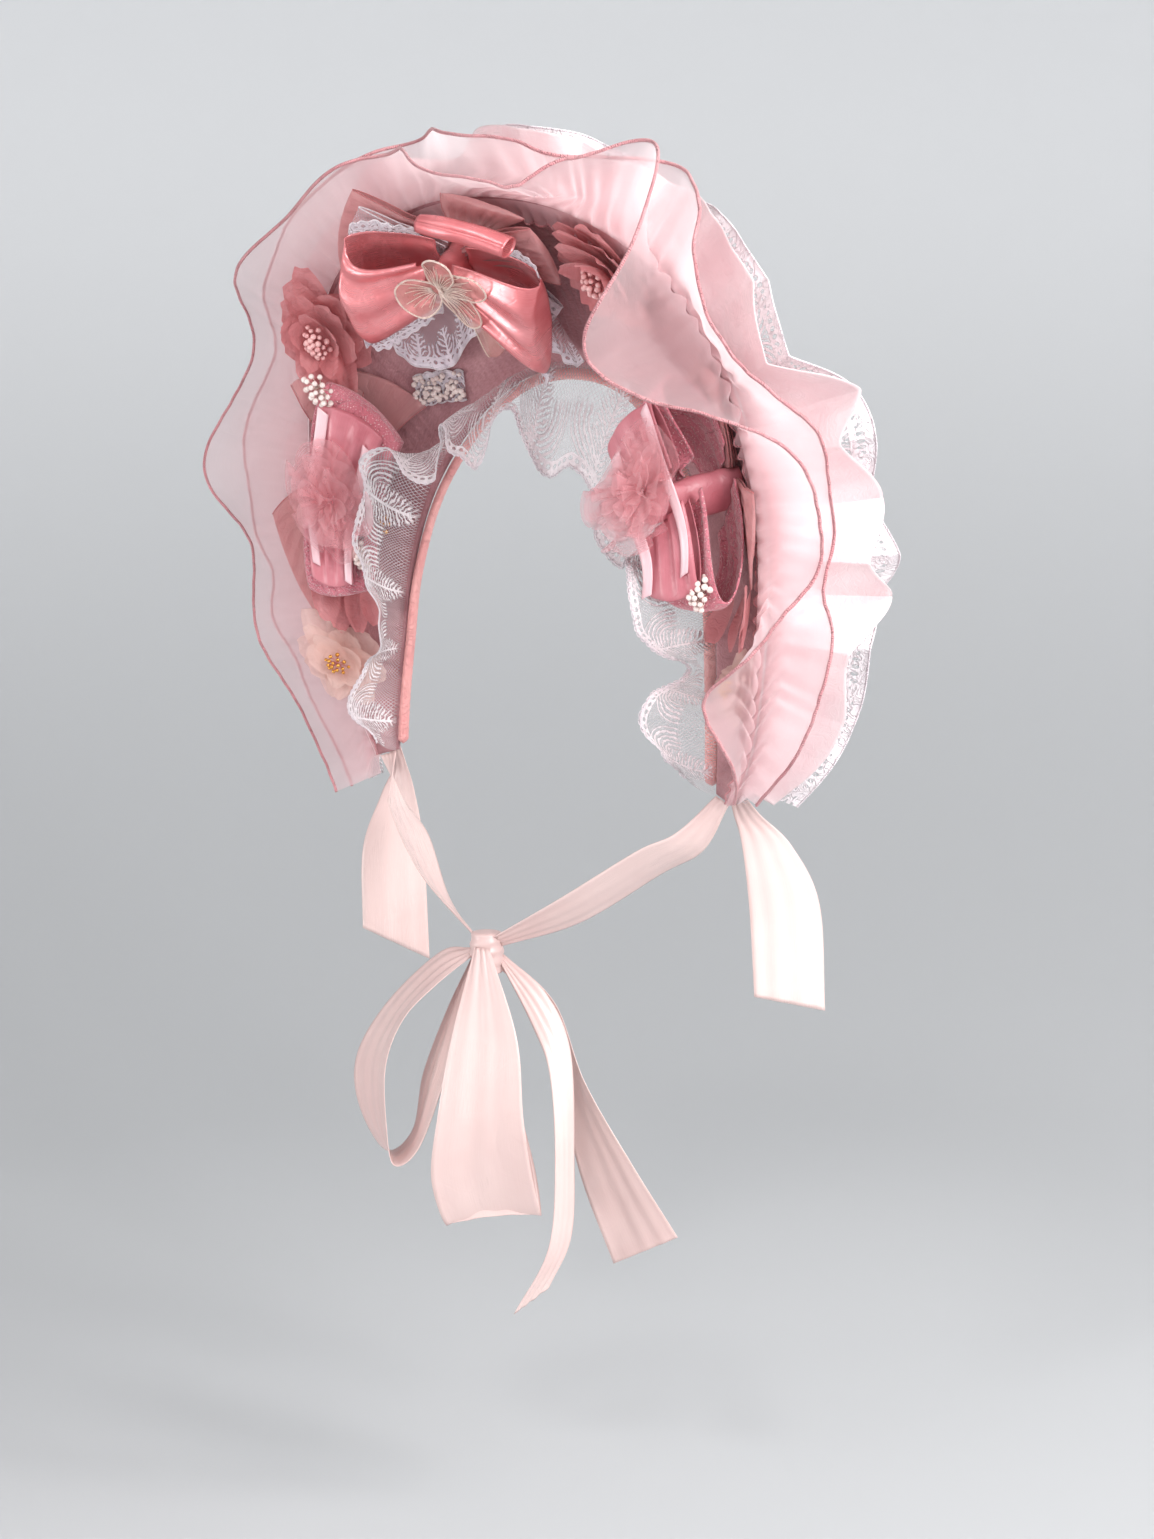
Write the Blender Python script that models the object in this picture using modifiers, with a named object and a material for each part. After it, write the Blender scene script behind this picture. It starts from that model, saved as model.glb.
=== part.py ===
"""Frilled brim bonnet with ribbon ties: a flared brim round the face, with ruffles, bows and flowers.

The frame: the origin is the middle of the head band's top edge, where the bonnet sits on the head,
+Z is up, -Y is the way the face looks and +X is the wearer's left. The brim is described by
arc (-1 at the wearer's right end, 0 at the top, 1 at the left end), by depth (0 at the head band,
1 at the outer edge) and by height over its front face.
"""

import math

import bmesh
import bpy
import numpy as np

MM = 0.001
CLOTH = 1.0 * MM
GAP = 0.4 * MM

# Half of the brim, right of the top middle, in millimetres: the head edge and the outer edge at each arc
BRIM_SECTIONS = [
    # arc, head x, head y, head z, outer x, outer y, outer z
    (0.00, 0, 0, 0, 0, -78, 90),
    (0.17, 36, -1, -8, 60, -73, 80),
    (0.33, 67, -5, -33, 110, -66, 50),
    (0.47, 90, -10, -68, 139, -56, 4),
    (0.61, 102, -15, -108, 153, -45, -57),
    (0.77, 107, -18, -150, 149, -36, -130),
    (0.90, 110, -20, -185, 137, -29, -184),
    (1.00, 111, -21, -210, 124, -25, -214),
]
BRIM_WALL = 2.5 * MM
BRIM_START = 0.02  # the depth at which the brim begins, just outside the head band
BAND_RADIUS = 2.4 * MM
BAND_GAP = 0.7 * MM
BAND_END = 0.985  # the arc at which the band stops, short of the ties
BAND_POINTS = 29
BRIM_BULGE = 8 * MM  # how far the brim's middle bows back
BULGE_FADE = 4  # the bow fades out over the last quarter of each arm

# Ruffle hems, one row a fold: arc, reach from the seam in mm, swing in degrees (+ is to the back),
# slide along the brim in mm
FRONT_FOLDS = [
    # arc, reach, swing, slide
    (-1.00, 32, 0, -10),
    (-0.90, 36, 12, 0),
    (-0.80, 48, 4, 0),
    (-0.70, 46, 14, 0),
    (-0.60, 66, 6, 0),
    (-0.50, 48, 30, 0),
    (-0.41, 54, 10, 0),
    (-0.30, 38, 2, 0),
    (-0.20, 38, 6, 0),
    (-0.11, 30, 24, 0),
    (-0.05, 38, -30, 20),
    (0.02, 38, -42, 36),
    (0.10, 36, -20, 25),
    (0.20, 42, 12, 4),
    (0.28, 58, 14, -4),
    (0.33, 60, -28, 0),
    (0.37, 70, -66, 0),
    (0.41, 64, -78, 4),
    (0.45, 58, -66, 10),
    (0.50, 52, -38, 6),
    (0.55, 48, -12, 0),
    (0.62, 42, 16, -2),
    (0.69, 40, 12, -8),
    (0.75, 36, -12, -14),
    (0.81, 40, -52, -18),
    (0.88, 40, -66, -20),
    (0.94, 30, -50, -18),
    (1.00, 14, -20, -10),
]
# How much farther back than the layer in front each layer swings, and its own reach
BACK_LAYER = [
    # arc, reach, more swing
    (-1.00, 26, 14),
    (-0.80, 42, 16),
    (-0.66, 48, 12),
    (-0.52, 50, 14),
    (-0.30, 38, 18),
    (-0.14, 34, 14),
    (-0.04, 34, 44),
    (0.06, 30, 36),
    (0.20, 34, 20),
    (0.30, 48, 30),
    (0.38, 60, 56),
    (0.45, 58, 46),
    (0.54, 52, 22),
    (0.64, 40, 14),
    (0.72, 38, 22),
    (0.82, 44, 72),
    (0.90, 36, 70),
    (1.00, 16, 26),
]
RIBBON_LAYER = [
    # arc, reach, more swing: sharp folds, alternately near to the organza and far from it
    (-1.00, 24, 18),
    (-0.90, 34, 34),
    (-0.80, 36, 18),
    (-0.70, 42, 40),
    (-0.60, 40, 18),
    (-0.50, 44, 34),
    (-0.40, 42, 18),
    (-0.30, 42, 40),
    (-0.20, 36, 20),
    (-0.10, 32, 34),
    (0.00, 34, 16),
    (0.08, 32, 30),
    (0.16, 30, 16),
    (0.24, 36, 34),
    (0.32, 38, 16),
    (0.40, 46, 34),
    (0.46, 44, 12),
    (0.52, 62, 36),
    (0.57, 46, 16),
    (0.63, 58, 38),
    (0.69, 50, 16),
    (0.74, 60, 40),
    (0.80, 44, 14),
    (0.88, 44, 26),
    (1.00, 20, 16),
]
LACE_LAYER = [
    # arc, reach, more swing
    (-1.00, 34, 12),
    (-0.88, 50, 24),
    (-0.76, 50, 12),
    (-0.64, 56, 26),
    (-0.52, 52, 12),
    (-0.40, 54, 24),
    (-0.28, 46, 12),
    (-0.14, 34, 20),
    (0.00, 32, 12),
    (0.14, 32, 22),
    (0.26, 34, 12),
    (0.36, 38, 18),
    (0.46, 44, 14),
    (0.56, 56, 24),
    (0.63, 52, 10),
    (0.70, 62, 22),
    (0.78, 50, 12),
    (0.88, 46, 22),
    (1.00, 28, 12),
]
# The lace round the face, one row a fold: arc, forward, inward and along the brim, in mm
FACE_FOLDS = [
    # arc, forward, inward, slide
    (-1.00, 22, 5, 8),
    (-0.90, 45, 5, 5),
    (-0.82, 30, 2, 2),
    (-0.75, 40, 22, 0),
    (-0.68, 40, 8, 10),
    (-0.60, 56, 4, 12),
    (-0.53, 54, 2, 14),
    (-0.47, 60, -4, 12),
    (-0.42, 56, 2, 8),
    (-0.38, 58, 24, -6),
    (-0.34, 52, 38, -10),
    (-0.29, 46, 16, 0),
    (-0.24, 54, 40, -10),
    (-0.20, 46, 50, -12),
    (-0.15, 40, 30, 0),
    (-0.10, 32, 26, 0),
    (-0.05, 28, 44, 0),
    (0.00, 20, 60, 0),
    (0.07, 20, 60, 8),
    (0.15, 16, 56, 14),
    (0.22, 22, 50, 22),
    (0.30, 34, 42, 24),
    (0.40, 46, 36, 26),
    (0.46, 44, 28, 30),
    (0.50, 52, 18, 22),
    (0.56, 60, 6, 14),
    (0.63, 62, 4, 8),
    (0.69, 52, 8, 6),
    (0.74, 30, 4, 0),
    (0.78, 16, 6, -6),
    (0.84, 50, 4, -10),
    (0.90, 54, 6, -14),
    (0.95, 46, 2, -14),
    (1.00, 22, 2, -10),
]
STEEPEST = 112  # degrees: no ruffle folds farther back than this
STRAIGHT = 0.4  # the share of its reach over which a ruffle takes its swing

# The depth of each seam, and the heights of the layers over the brim's front face
ORGANZA_SEAM = 1.0
BACK_SEAM = 0.95
LACE_SEAM = 0.94
LACE_BEHIND = 2.8 * MM
FACE_SEAM = 0.06
FACET = 0.5 * MM  # how far the flat facets of two curved walls may come towards each other
UNDER_ORGANZA = FACET + GAP + CLOTH / 2
OVER_ORGANZA = UNDER_ORGANZA + CLOTH + GAP
BEHIND = -BRIM_WALL - FACET - GAP - CLOTH / 2

# The gathered heading over the organza's seam
HEADER_START = 0.90
HEADER_DEPTH = 0.075
HEADER_WAVES = 16
HEADER_WAVE = 0.9 * MM

# The main bow's loops, in mm: x along the arch and y outward from the knot. A loop runs from the knot to
# its far edge, which joins two points, turns there and comes home higher.
MAIN_LOOPS = [
    # name, far edge's first x, y, second x, y, base, puff, neck
    ("chiffon_loop_1", -34, 60, -70, 34, 5.6, 5, 16),
    ("chiffon_loop_2", 56, 26, 16, 42, 7.4, 4, 14),
    ("chiffon_loop_3", 64, -14, 64, 26, 12.6, 6, 14),
    ("lace_loop_1", -32, 52, -60, 32, 12.2, 4, 14),
    ("lace_loop_2", -40, -18, -12, -42, 5.6, 5, 12),
    ("lace_loop_3", 13, -60, 47, -40, 5.6, 5, 12),
    ("satin_loop_left", -38, 46, -76, 6, 18.6, 24, 34),
    ("satin_loop_right", 45, -60, 68, 0, 18.6, 24, 34),
]
MAIN_KNOT_TOP = 36
# A side bow: the same, with x up the arm and y outward. The one on the wearer's left leans outward.
SIDE_LOOPS = [
    # name, far edge's first x, y, second x, y, base, puff, neck
    ("side_chiffon_1", 69, -22, 46, 24, 2.0, 2.6, 14),
    ("side_chiffon_2", 50, 2, 36, 34, 6.6, 2.3, 14),
    ("side_chiffon_3", -28, 48, -62, 28, 5.4, 2.6, 14),
    ("side_velvet_upper", 61, -26, 54, 18, 9.8, 30, 42),
    ("side_velvet_lower", -60, 28, -44, -21, 9.7, 30, 42),
    ("side_satin_upper", 60, -18, 46, 16, 34.6, 6, 30),
    ("side_satin_lower", -52, 20, -42, -16, 34.6, 6, 30),
]
SIDE_KNOT_TOP = 41.5
MAIN_PLACE = (-0.08, 0.72)  # arc and depth of the main bow's knot
SIDE_PLACE = {"right": -0.575, "left": -0.55}  # the side knots' arcs; the left one is mirrored
SIDE_DEPTH = 0.60
LEAN_FROM, LEAN_TO = 9, 45  # the heights in mm between which a side bow is stretched
LEAN = {"right": (0, 0), "left": (0.26, 0.017)}  # the stretch, and how much less it is for each mm outward

# Flowers, in mm: petals start at the hole, each turn of the spiral lies a step higher
PETAL_HOLE = 3
PETALS = 5
FLOWER_STEP = 4.5
FLOWERS = [
    # name, arc, depth, radius, turns of the spiral, base
    ("flower_right", -0.41, 0.94, 29, 2.0, 4.3),
    ("flower_left", 0.21, 0.72, 29, 2.0, 1.7),
    ("cream_flower_right", -0.84, 0.92, 20, 1.4, 4.3),
    ("cream_flower_left", 0.81, 0.52, 15, 1.4, 1.2),
]

# The butterfly on the main knot, and the small pieces under it, in mm
WING_ROOT = 4
WING_LEAST = 12
WING_SPAN = 18
WING_FLATNESS = 0.8
BEADED_LENGTH = 34
BEADED_WIDTH = 14

# The narrow ribbons and the tulle puff on a side bow, in mm
NARROW_HEIGHT = {"right": 41.5, "left": 41.1}  # both just clear the satin loops
NARROW_LENGTH = 90
NARROW_WIDTH = 6
NARROW_SPACING = 26
PUFF_RADIUS = 20
PUFF_PLACE = {"right": 0, "left": 10}  # how far up the arm the tulle puff sits
PUFF_HEIGHT = {"right": 20, "left": 16}

# The ties and the bow under the chin, in millimetres
KNOT = (0, -72, -300)
BOW_TURN = 25  # the bow hangs turned a little to the wearer's left
TIE = [
    # one edge x y z, other edge x y z
    (112, -21.8, -211.1, 122, -24, -214.1),
    (100, -40, -229, 104, -22, -240),
    (86, -54, -238, 82, -28, -254),
    (50, -70, -264, 46, -50, -281),
    (7.6, -75, -290, 7.6, -69, -296),
]
STREAMER_LEFT = [
    (115.4, -17.6, -203, 124, -20.4, -204.5),
    (117, -14, -220, 129, -8, -220),
    (121, -12, -236, 138, 8, -238),
    (124, -9, -270, 146, 22, -270),
    (127, -8, -316, 149, 24, -326),
]
STREAMER_RIGHT = [
    (-124, -20.4, -204.5, -115.4, -17.6, -203),
    (-128, -8, -222, -116, -10, -219),
    (-134, -12, -240, -117, -2, -237),
    (-140, -21, -270, -118, 6, -270),
    (-140, -22, -316, -116, 8, -336),
]
CHIN_LOOP_RIGHT = [
    (-8.6, -1, 2, -6.6, 6, -1),
    (-29, -10, -4, -24, 14, -16),
    (-60, -14, -34, -40, 20, -34),
    (-78, -14, -65, -50, 20, -60),
    (-77, -14, -93, -50, 20, -92),
    (-62, -14, -117, -46, 20, -114),
    (-46, -14, -104, -32, 20, -104),
    (-40, -14, -72, -18, 18, -66),
    (-24, -8, -34, -12, 10, -30),
    (-8.6, -1, -5, -6.6, 6, -7),
]
CHIN_LOOP_LEFT = [
    (-4, 8.8, 4, 4, 8.8, 4),
    (-13, 20, -40, 22, 20, -40),
    (-19, 26, -80, 27, 26, -80),
    (-24, 24, -118, 31, 24, -112),
    (-18, 16, -146, 34, 16, -136),
    (-20, 8, -118, 28, 8, -112),
    (-10, 6, -70, 16, 6, -70),
    (-3, 3, -32, 5, 3, -32),
    (-3, 2, -12, 3, 2, -12),
]
NARROW_TAIL = [
    (8.2, -2, -1, 8.2, 2, -5),
    (32, 0, -20, 27, 8, -36),
    (46, 2, -50, 38, 14, -60),
    (48, 2, -107, 42, 18, -105),
    (47, 4, -150, 39, 20, -152),
    (36, 8, -178, 20, 20, -190),
]
BROAD_TAIL = [
    (2, -8.3, -8, 7, -8.3, -3),
    (24, -14, -34, 34, -10, -28),
    (36, -16, -80, 52, -4, -68),
    (48, -14, -125, 78, -2, -110),
    (66, -12, -169, 103, -2, -148),
]


def table(rows):
    return np.array(rows, float)


def smooth(x, rows, column):
    """The column read at x along a smooth curve that passes through every row (cubic Hermite)."""
    xs, ys = rows[:, 0], rows[:, column]
    slopes = np.gradient(ys, xs)
    i = np.clip(np.searchsorted(xs, x, side="right") - 1, 0, len(xs) - 2)
    step = xs[i + 1] - xs[i]
    u = (x - xs[i]) / step
    return (
        (2 * u**3 - 3 * u**2 + 1) * ys[i]
        + (u**3 - 2 * u**2 + u) * step * slopes[i]
        + (3 * u**2 - 2 * u**3) * ys[i + 1]
        + (u**3 - u**2) * step * slopes[i + 1]
    )


def creased(x, rows, column):
    """The column read at x along straight lines, for cloth that is folded with sharp creases."""
    return np.interp(x, rows[:, 0], rows[:, column])


def mirrored(rows, odd_columns):
    """The half table with its mirror image put before it, x columns turned to minus."""
    other = rows[:0:-1].copy()
    other[:, odd_columns] *= -1
    return np.vstack([other, rows])


SECTIONS = mirrored(table(BRIM_SECTIONS), [0, 1, 4])
FRONT, BACK, RIBBON, LACE = (table(rows) for rows in (FRONT_FOLDS, BACK_LAYER, RIBBON_LAYER, LACE_LAYER))
FACE = table(FACE_FOLDS)
STEP = 1e-3  # the small change of arc or depth that a direction is measured over


def columns(arc, first):
    return np.stack([smooth(arc, SECTIONS, first + k) for k in range(3)], -1) * MM


def unit(vectors):
    return vectors / np.linalg.norm(vectors, axis=-1, keepdims=True)


def ruled(arc, depth):
    """The straight-ruled brim between its head edge and its outer edge."""
    head, outer = columns(arc, 1), columns(arc, 4)
    return head + depth[..., None] * (outer - head)


def directions(arc, depth):
    """Unit vectors on the brim: outward, backward through the cloth, and along the arch."""
    along = unit(ruled(np.minimum(arc + STEP, 1), depth) - ruled(np.maximum(arc - STEP, -1), depth))
    outward = columns(arc, 4) - columns(arc, 1)
    outward = unit(outward - (outward * along).sum(-1, keepdims=True) * along)
    return outward, np.cross(outward, along), along


def on_brim(arc, depth, height):
    """A point at this height over the brim's front face."""
    arc, depth, height = np.broadcast_arrays(*(np.asarray(v, float) for v in (arc, depth, height)))
    back = directions(arc, depth)[1]
    fade = np.clip((1 - np.abs(arc)) * BULGE_FADE, 0, 1)
    bow = BRIM_BULGE * 4 * np.clip(depth, 0, 1) * (1 - np.clip(depth, 0, 1)) * fade
    return ruled(arc, depth) + (bow - height)[..., None] * back


def patch(arc, depth, turn):
    """A flat drawing laid on the brim: x and y in metres from this place, turned by this angle."""
    e = STEP
    here = np.array([arc]), np.array([depth])
    per_arc = np.linalg.norm(ruled(here[0] + e, here[1]) - ruled(here[0] - e, here[1])) / (2 * e)
    per_depth = np.linalg.norm(ruled(here[0], here[1] + e) - ruled(here[0], here[1] - e)) / (2 * e)
    c, s = math.cos(math.radians(turn)), math.sin(math.radians(turn))

    def place(x, y, height):
        a = np.clip(arc + (x * c - y * s) / per_arc, -1, 1)
        return on_brim(a, depth + (x * s + y * c) / per_depth, height)

    return place


def clear_scene():
    for thing in list(bpy.data.objects):
        bpy.data.objects.remove(thing, do_unlink=True)


def finish(name, colour, roughness, metallic=0.0):
    material = bpy.data.materials.new(name)
    material.use_nodes = True
    shader = material.node_tree.nodes["Principled BSDF"]
    shader.inputs["Base Color"].default_value = (*colour, 1)
    shader.inputs["Roughness"].default_value = roughness
    shader.inputs["Metallic"].default_value = metallic
    return material


def add(name, mesh, material):
    """The mesh as a piece of the bonnet."""
    thing = bpy.data.objects.new(name, mesh)
    thing.data.materials.append(material)
    BONNET.objects.link(thing)
    mesh.shade_smooth()
    return thing


def wall(thing, thickness, side):
    """A cloth wall grown from an open surface; side 0 is centred, -1 and 1 lie on one side."""
    solidify = thing.modifiers.new("wall", "SOLIDIFY")
    solidify.thickness = thickness
    solidify.offset = side


def sheet(name, surface, across, along, material, thickness=CLOTH, side=0, ring=False):
    """A cloth piece: surface(u, v) gives points for u and v from 0 to 1; a ring is closed in u."""
    mesh = bpy.data.meshes.new(name)
    bm = bmesh.new()
    bmesh.ops.create_grid(bm, x_segments=across, y_segments=along, size=0.5)
    flat = np.array([v.co[:] for v in bm.verts])
    points = surface(flat[:, 0] + 0.5, flat[:, 1] + 0.5)
    for vertex, point in zip(bm.verts, points):
        vertex.co = point
    if ring:
        bmesh.ops.remove_doubles(bm, verts=bm.verts, dist=0.01 * MM)
    bm.to_mesh(mesh)
    bm.free()
    thing = add(name, mesh, material)
    wall(thing, thickness, side)
    return thing


def dome(name, place, x, y, height, radius, tall, material, sides=10, rings=6):
    """A flattened ball that lies on the brim."""
    mesh = bpy.data.meshes.new(name)
    bm = bmesh.new()
    bmesh.ops.create_uvsphere(bm, u_segments=sides, v_segments=rings, radius=1)
    ball = np.array([v.co[:] for v in bm.verts])
    points = place(x + ball[:, 0] * radius, y + ball[:, 1] * radius, height + (ball[:, 2] + 1) * tall / 2)
    for vertex, point in zip(bm.verts, points):
        vertex.co = point
    bm.normal_update()
    bmesh.ops.recalc_face_normals(bm, faces=bm.faces)
    bm.to_mesh(mesh)
    bm.free()
    return add(name, mesh, material)


def arc_of(u, folds):
    """The arc at this share of the grid, whose lines are shared out evenly between the table's rows."""
    rows = np.arange(len(folds)) / (len(folds) - 1)
    return np.interp(u, rows, folds[:, 0])


def leave_straight(v):
    """How much of its swing a ruffle has taken at this share of its reach: none at the seam."""
    w = np.clip(v / STRAIGHT, 0, 1)
    return w * w * (3 - 2 * w)


def ruffle(seam_depth, seam_height, reach, swing, folds):
    """A ruffle sewn to the brim's edge: it leaves the seam flat, turns by its swing and slides along.

    Its point is seam + reach v (cos b outward + sin b back) + slide along, where the angle b grows to the
    swing over the first part of the reach.
    """

    def surface(u, v):
        arc = arc_of(u, folds)
        outward, back, along = directions(arc, np.full_like(arc, seam_depth))
        seam = on_brim(arc, seam_depth, seam_height)
        angle = np.radians(swing(arc)) * leave_straight(v)
        length = reach(arc) * MM * v
        fan = smooth(arc, FRONT, 3) * MM * leave_straight(v)
        way = np.cos(angle)[:, None] * outward + np.sin(angle)[:, None] * back
        return seam + length[:, None] * way + fan[:, None] * along

    return surface


def front_swing(arc):
    return smooth(arc, FRONT, 2)


def back_swing(arc):
    return front_swing(arc) + smooth(arc, BACK, 2)


def ribbon_swing(arc):
    return back_swing(arc) + creased(arc, RIBBON, 2)


def lace_swing(arc):
    return np.minimum(ribbon_swing(arc) + smooth(arc, LACE, 2), STEEPEST)


def make_brim():
    def face(u, v):
        return on_brim(2 * u - 1, BRIM_START + (1 - BRIM_START) * v, 0)

    sheet("brim", face, 44, 4, PINK_SATIN, BRIM_WALL, side=-1)


def make_head_band():
    """A rolled binding along the head edge: a tube that lies just inside the edge without touching it."""
    curve = bpy.data.curves.new("head_band", "CURVE")
    curve.dimensions = "3D"
    curve.bevel_depth = BAND_RADIUS
    curve.bevel_resolution = 1
    curve.use_fill_caps = True
    spline = curve.splines.new("POLY")
    arcs = np.linspace(-BAND_END, BAND_END, BAND_POINTS)
    inward = -directions(arcs, 0 * arcs)[0]
    middle = on_brim(arcs, BRIM_START, -BRIM_WALL / 2) + (BAND_RADIUS + BAND_GAP) * inward
    spline.points.add(BAND_POINTS - 1)
    for point, place in zip(spline.points, middle):
        point.co = (*place, 1)
    thing = bpy.data.objects.new("head_band", curve)
    curve.materials.append(PINK_SATIN)
    BONNET.objects.link(thing)


def make_ruffles():
    front = ruffle(ORGANZA_SEAM, OVER_ORGANZA, lambda arc: smooth(arc, FRONT, 1), front_swing, FRONT)
    back = ruffle(ORGANZA_SEAM, UNDER_ORGANZA, lambda arc: smooth(arc, BACK, 1), back_swing, FRONT)
    ribbon = ruffle(BACK_SEAM, BEHIND, lambda arc: smooth(arc, RIBBON, 1), ribbon_swing, RIBBON)
    lace = ruffle(LACE_SEAM, BEHIND - LACE_BEHIND, lambda arc: smooth(arc, LACE, 1), lace_swing, RIBBON)
    sheet("organza_front", front, 2 * (len(FRONT) - 1), 3, ORGANZA)
    sheet("organza_back", back, 2 * (len(FRONT) - 1), 3, ORGANZA)
    sheet("ribbon_ruffle", ribbon, 2 * (len(RIBBON) - 1), 2, PINK_SATIN)
    sheet("back_lace", lace, 2 * (len(RIBBON) - 1), 2, WHITE_LACE)

    def header(u, v):
        wave = HEADER_WAVE * (1 - np.cos(2 * math.pi * HEADER_WAVES * u)) / 2
        return on_brim(2 * u - 1, HEADER_START + HEADER_DEPTH * v, UNDER_ORGANZA + (1 - v) * wave)

    sheet("header_frill", header, 44, 1, ORGANZA)


def make_face_lace():
    def surface(u, v):
        arc = arc_of(u, FACE)
        seam = on_brim(arc, FACE_SEAM, UNDER_ORGANZA)
        along = unit(columns(np.minimum(arc + STEP, 1), 1) - columns(np.maximum(arc - STEP, -1), 1))
        face_way = np.array([0.0, -1.0, 0.0])
        forward = unit(face_way - (along @ face_way)[:, None] * along)
        inward = np.cross(along, forward)
        rise, fold = v**0.85, v**1.4
        ahead, toward_face, slide = (smooth(arc, FACE, k) * MM for k in (1, 2, 3))
        return (
            seam
            + (ahead * rise)[:, None] * forward
            + (toward_face * fold)[:, None] * inward
            + (slide * fold)[:, None] * along
        )

    sheet("face_lace", surface, 2 * (len(FACE) - 1), 2, WHITE_LACE)


def loop(name, place, far, base, puff, neck, material, start=8.6):
    """A ribbon loop, sizes in mm: it leaves the knot low, turns back at its far edge and comes home higher.

    u runs along the ribbon and v across it. The point is near + (far - near) sin(pi u)^0.7, where near and
    far run along the knot's side and along the far edge, and the upper half sinks towards the knot again.
    """
    one, other = np.array(far[:2], float), np.array(far[2:], float)
    way = unit((one + other) / 2)
    side = np.array([-way[1], way[0]])

    def surface(u, v):
        reach = np.sin(math.pi * u)[:, None] ** 0.7
        near = start * way + ((v - 0.5) * neck)[:, None] * side
        x, y = (near + (one + v[:, None] * (other - one) - near) * reach).T
        height = base + puff * ((1 - np.cos(math.pi * u)) / 2 - 0.35 * u**4)
        return place(x * MM, y * MM, height * MM)

    return sheet(name, surface, 12, 1, material)


def post(name, place, radius, low, high, material, sides=12):
    """A wrapped knot: an upright barrel that stands on the brim."""
    mesh = bpy.data.meshes.new(name)
    bm = bmesh.new()
    bmesh.ops.create_cone(bm, segments=sides, radius1=1, radius2=0.94, depth=1, cap_ends=True)
    barrel = np.array([v.co[:] for v in bm.verts])
    height = low + (barrel[:, 2] + 0.5) * (high - low)
    points = place(barrel[:, 0] * radius * MM, barrel[:, 1] * radius * MM, height * MM)
    for vertex, point in zip(bm.verts, points):
        vertex.co = point
    bm.normal_update()
    bmesh.ops.recalc_face_normals(bm, faces=bm.faces)
    bm.to_mesh(mesh)
    bm.free()
    return add(name, mesh, material)


def flower(name, place, radius, base, turns, material):
    """Gathered cloth rolled in a spiral: each turn lies higher and is shorter and more upright."""

    def surface(u, v):
        angle = 2 * math.pi * turns * u
        lobe = 0.8 + 0.2 * np.abs(np.sin(PETALS * angle / 2))
        distance = PETAL_HOLE + (radius * (1 - 0.4 * u) * lobe - PETAL_HOLE) * v
        height = base + FLOWER_STEP * turns * u + (3 + 8 * u) * v**1.5
        return place(distance * np.cos(angle) * MM, distance * np.sin(angle) * MM, height * MM)

    return sheet(name, surface, 32, 2, material)


def mirror(place):
    """The same place on the other arm."""
    return lambda x, y, height: place(x, y, height) * np.array([-1, 1, 1])


def leaning(side, place):
    """The same place with this arm's heights, which grow more on the side of the head."""
    stretch, fall = LEAN[side]

    def placed(x, y, height):
        grown = np.clip(height, LEAN_FROM * MM, LEAN_TO * MM) - LEAN_FROM * MM
        return place(x, y, height + grown * (stretch - fall * y / MM))

    return placed


def strip(name, rows, place, material, across, along=1):
    """A ribbon through rows of its two edges, six numbers a row, evenly spaced along it."""
    rows = table(rows)
    numbered = np.column_stack([np.linspace(0, 1, len(rows)), rows])

    def surface(u, v):
        one, other = (np.stack([smooth(u, numbered, first + k) for k in range(3)], -1) for first in (1, 4))
        return place(one + v[:, None] * (other - one)) * MM

    return sheet(name, surface, across, along, material)


def make_main_bow():
    place = patch(*MAIN_PLACE, 0)
    skins = {"chiffon": CHIFFON, "lace": WHITE_LACE, "satin": ROSE_SATIN}
    for name, *far, base, puff, neck in MAIN_LOOPS:
        loop(name, place, far, base, puff, neck, skins[name.split("_")[0]])
    post("main_knot", place, 8, 0.9, MAIN_KNOT_TOP, ROSE_SATIN)

    def wings(u, v):
        angle = 2 * math.pi * u
        spread = WING_ROOT + (WING_LEAST + WING_SPAN * np.abs(np.cos(angle)) ** 0.7) * v
        x, y = spread * np.cos(angle), spread * np.sin(angle) * WING_FLATNESS
        return place(x * MM, y * MM, (MAIN_KNOT_TOP + 1 + 3 * v**2) * MM)

    sheet("butterfly", wings, 24, 1, CHIFFON, ring=True)
    loop("sheer_loop", patch(-0.15, 0.42, 0), (-7, -24, 7, -24), 7.2, 8, 6, CHIFFON, start=2)
    beads = patch(-0.33, 0.27, -38)

    def braid(u, v):
        return beads((u - 0.5) * BEADED_LENGTH * MM, (v - 0.5) * BEADED_WIDTH * MM, UNDER_ORGANZA)

    sheet("beaded_lace", braid, 6, 2, WHITE_LACE)


def make_side_bow(side, place):
    """One arm's bow: chiffon, velvet and satin loops, two narrow ribbons and a tulle puff on the knot."""
    skins = {"chiffon": CHIFFON, "velvet": VELVET, "satin": PINK_SATIN}
    for name, *far, base, puff, neck in SIDE_LOOPS:
        loop(f"{name}_{side}", place, far, base, puff, neck, skins[name.split("_")[1]])
    post(f"side_knot_{side}", place, 8, 0.9, SIDE_KNOT_TOP, PINK_SATIN)
    for label, y in (("outer", NARROW_SPACING / 2), ("inner", -NARROW_SPACING / 2)):

        def line(u, v, y=y):
            x = (u - 0.5) * NARROW_LENGTH * MM
            return place(x, (y + (v - 0.5) * NARROW_WIDTH) * MM, NARROW_HEIGHT[side] * MM)

        sheet(f"side_ribbon_{label}_{side}", line, 8, 1, PINK_SATIN)
    puff_base = SIDE_KNOT_TOP * MM + GAP
    x, high = PUFF_PLACE[side] * MM, PUFF_HEIGHT[side] * MM
    dome(f"tulle_puff_{side}", place, x, 0, puff_base, PUFF_RADIUS * MM, high, CHIFFON, 12, 7)


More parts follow.
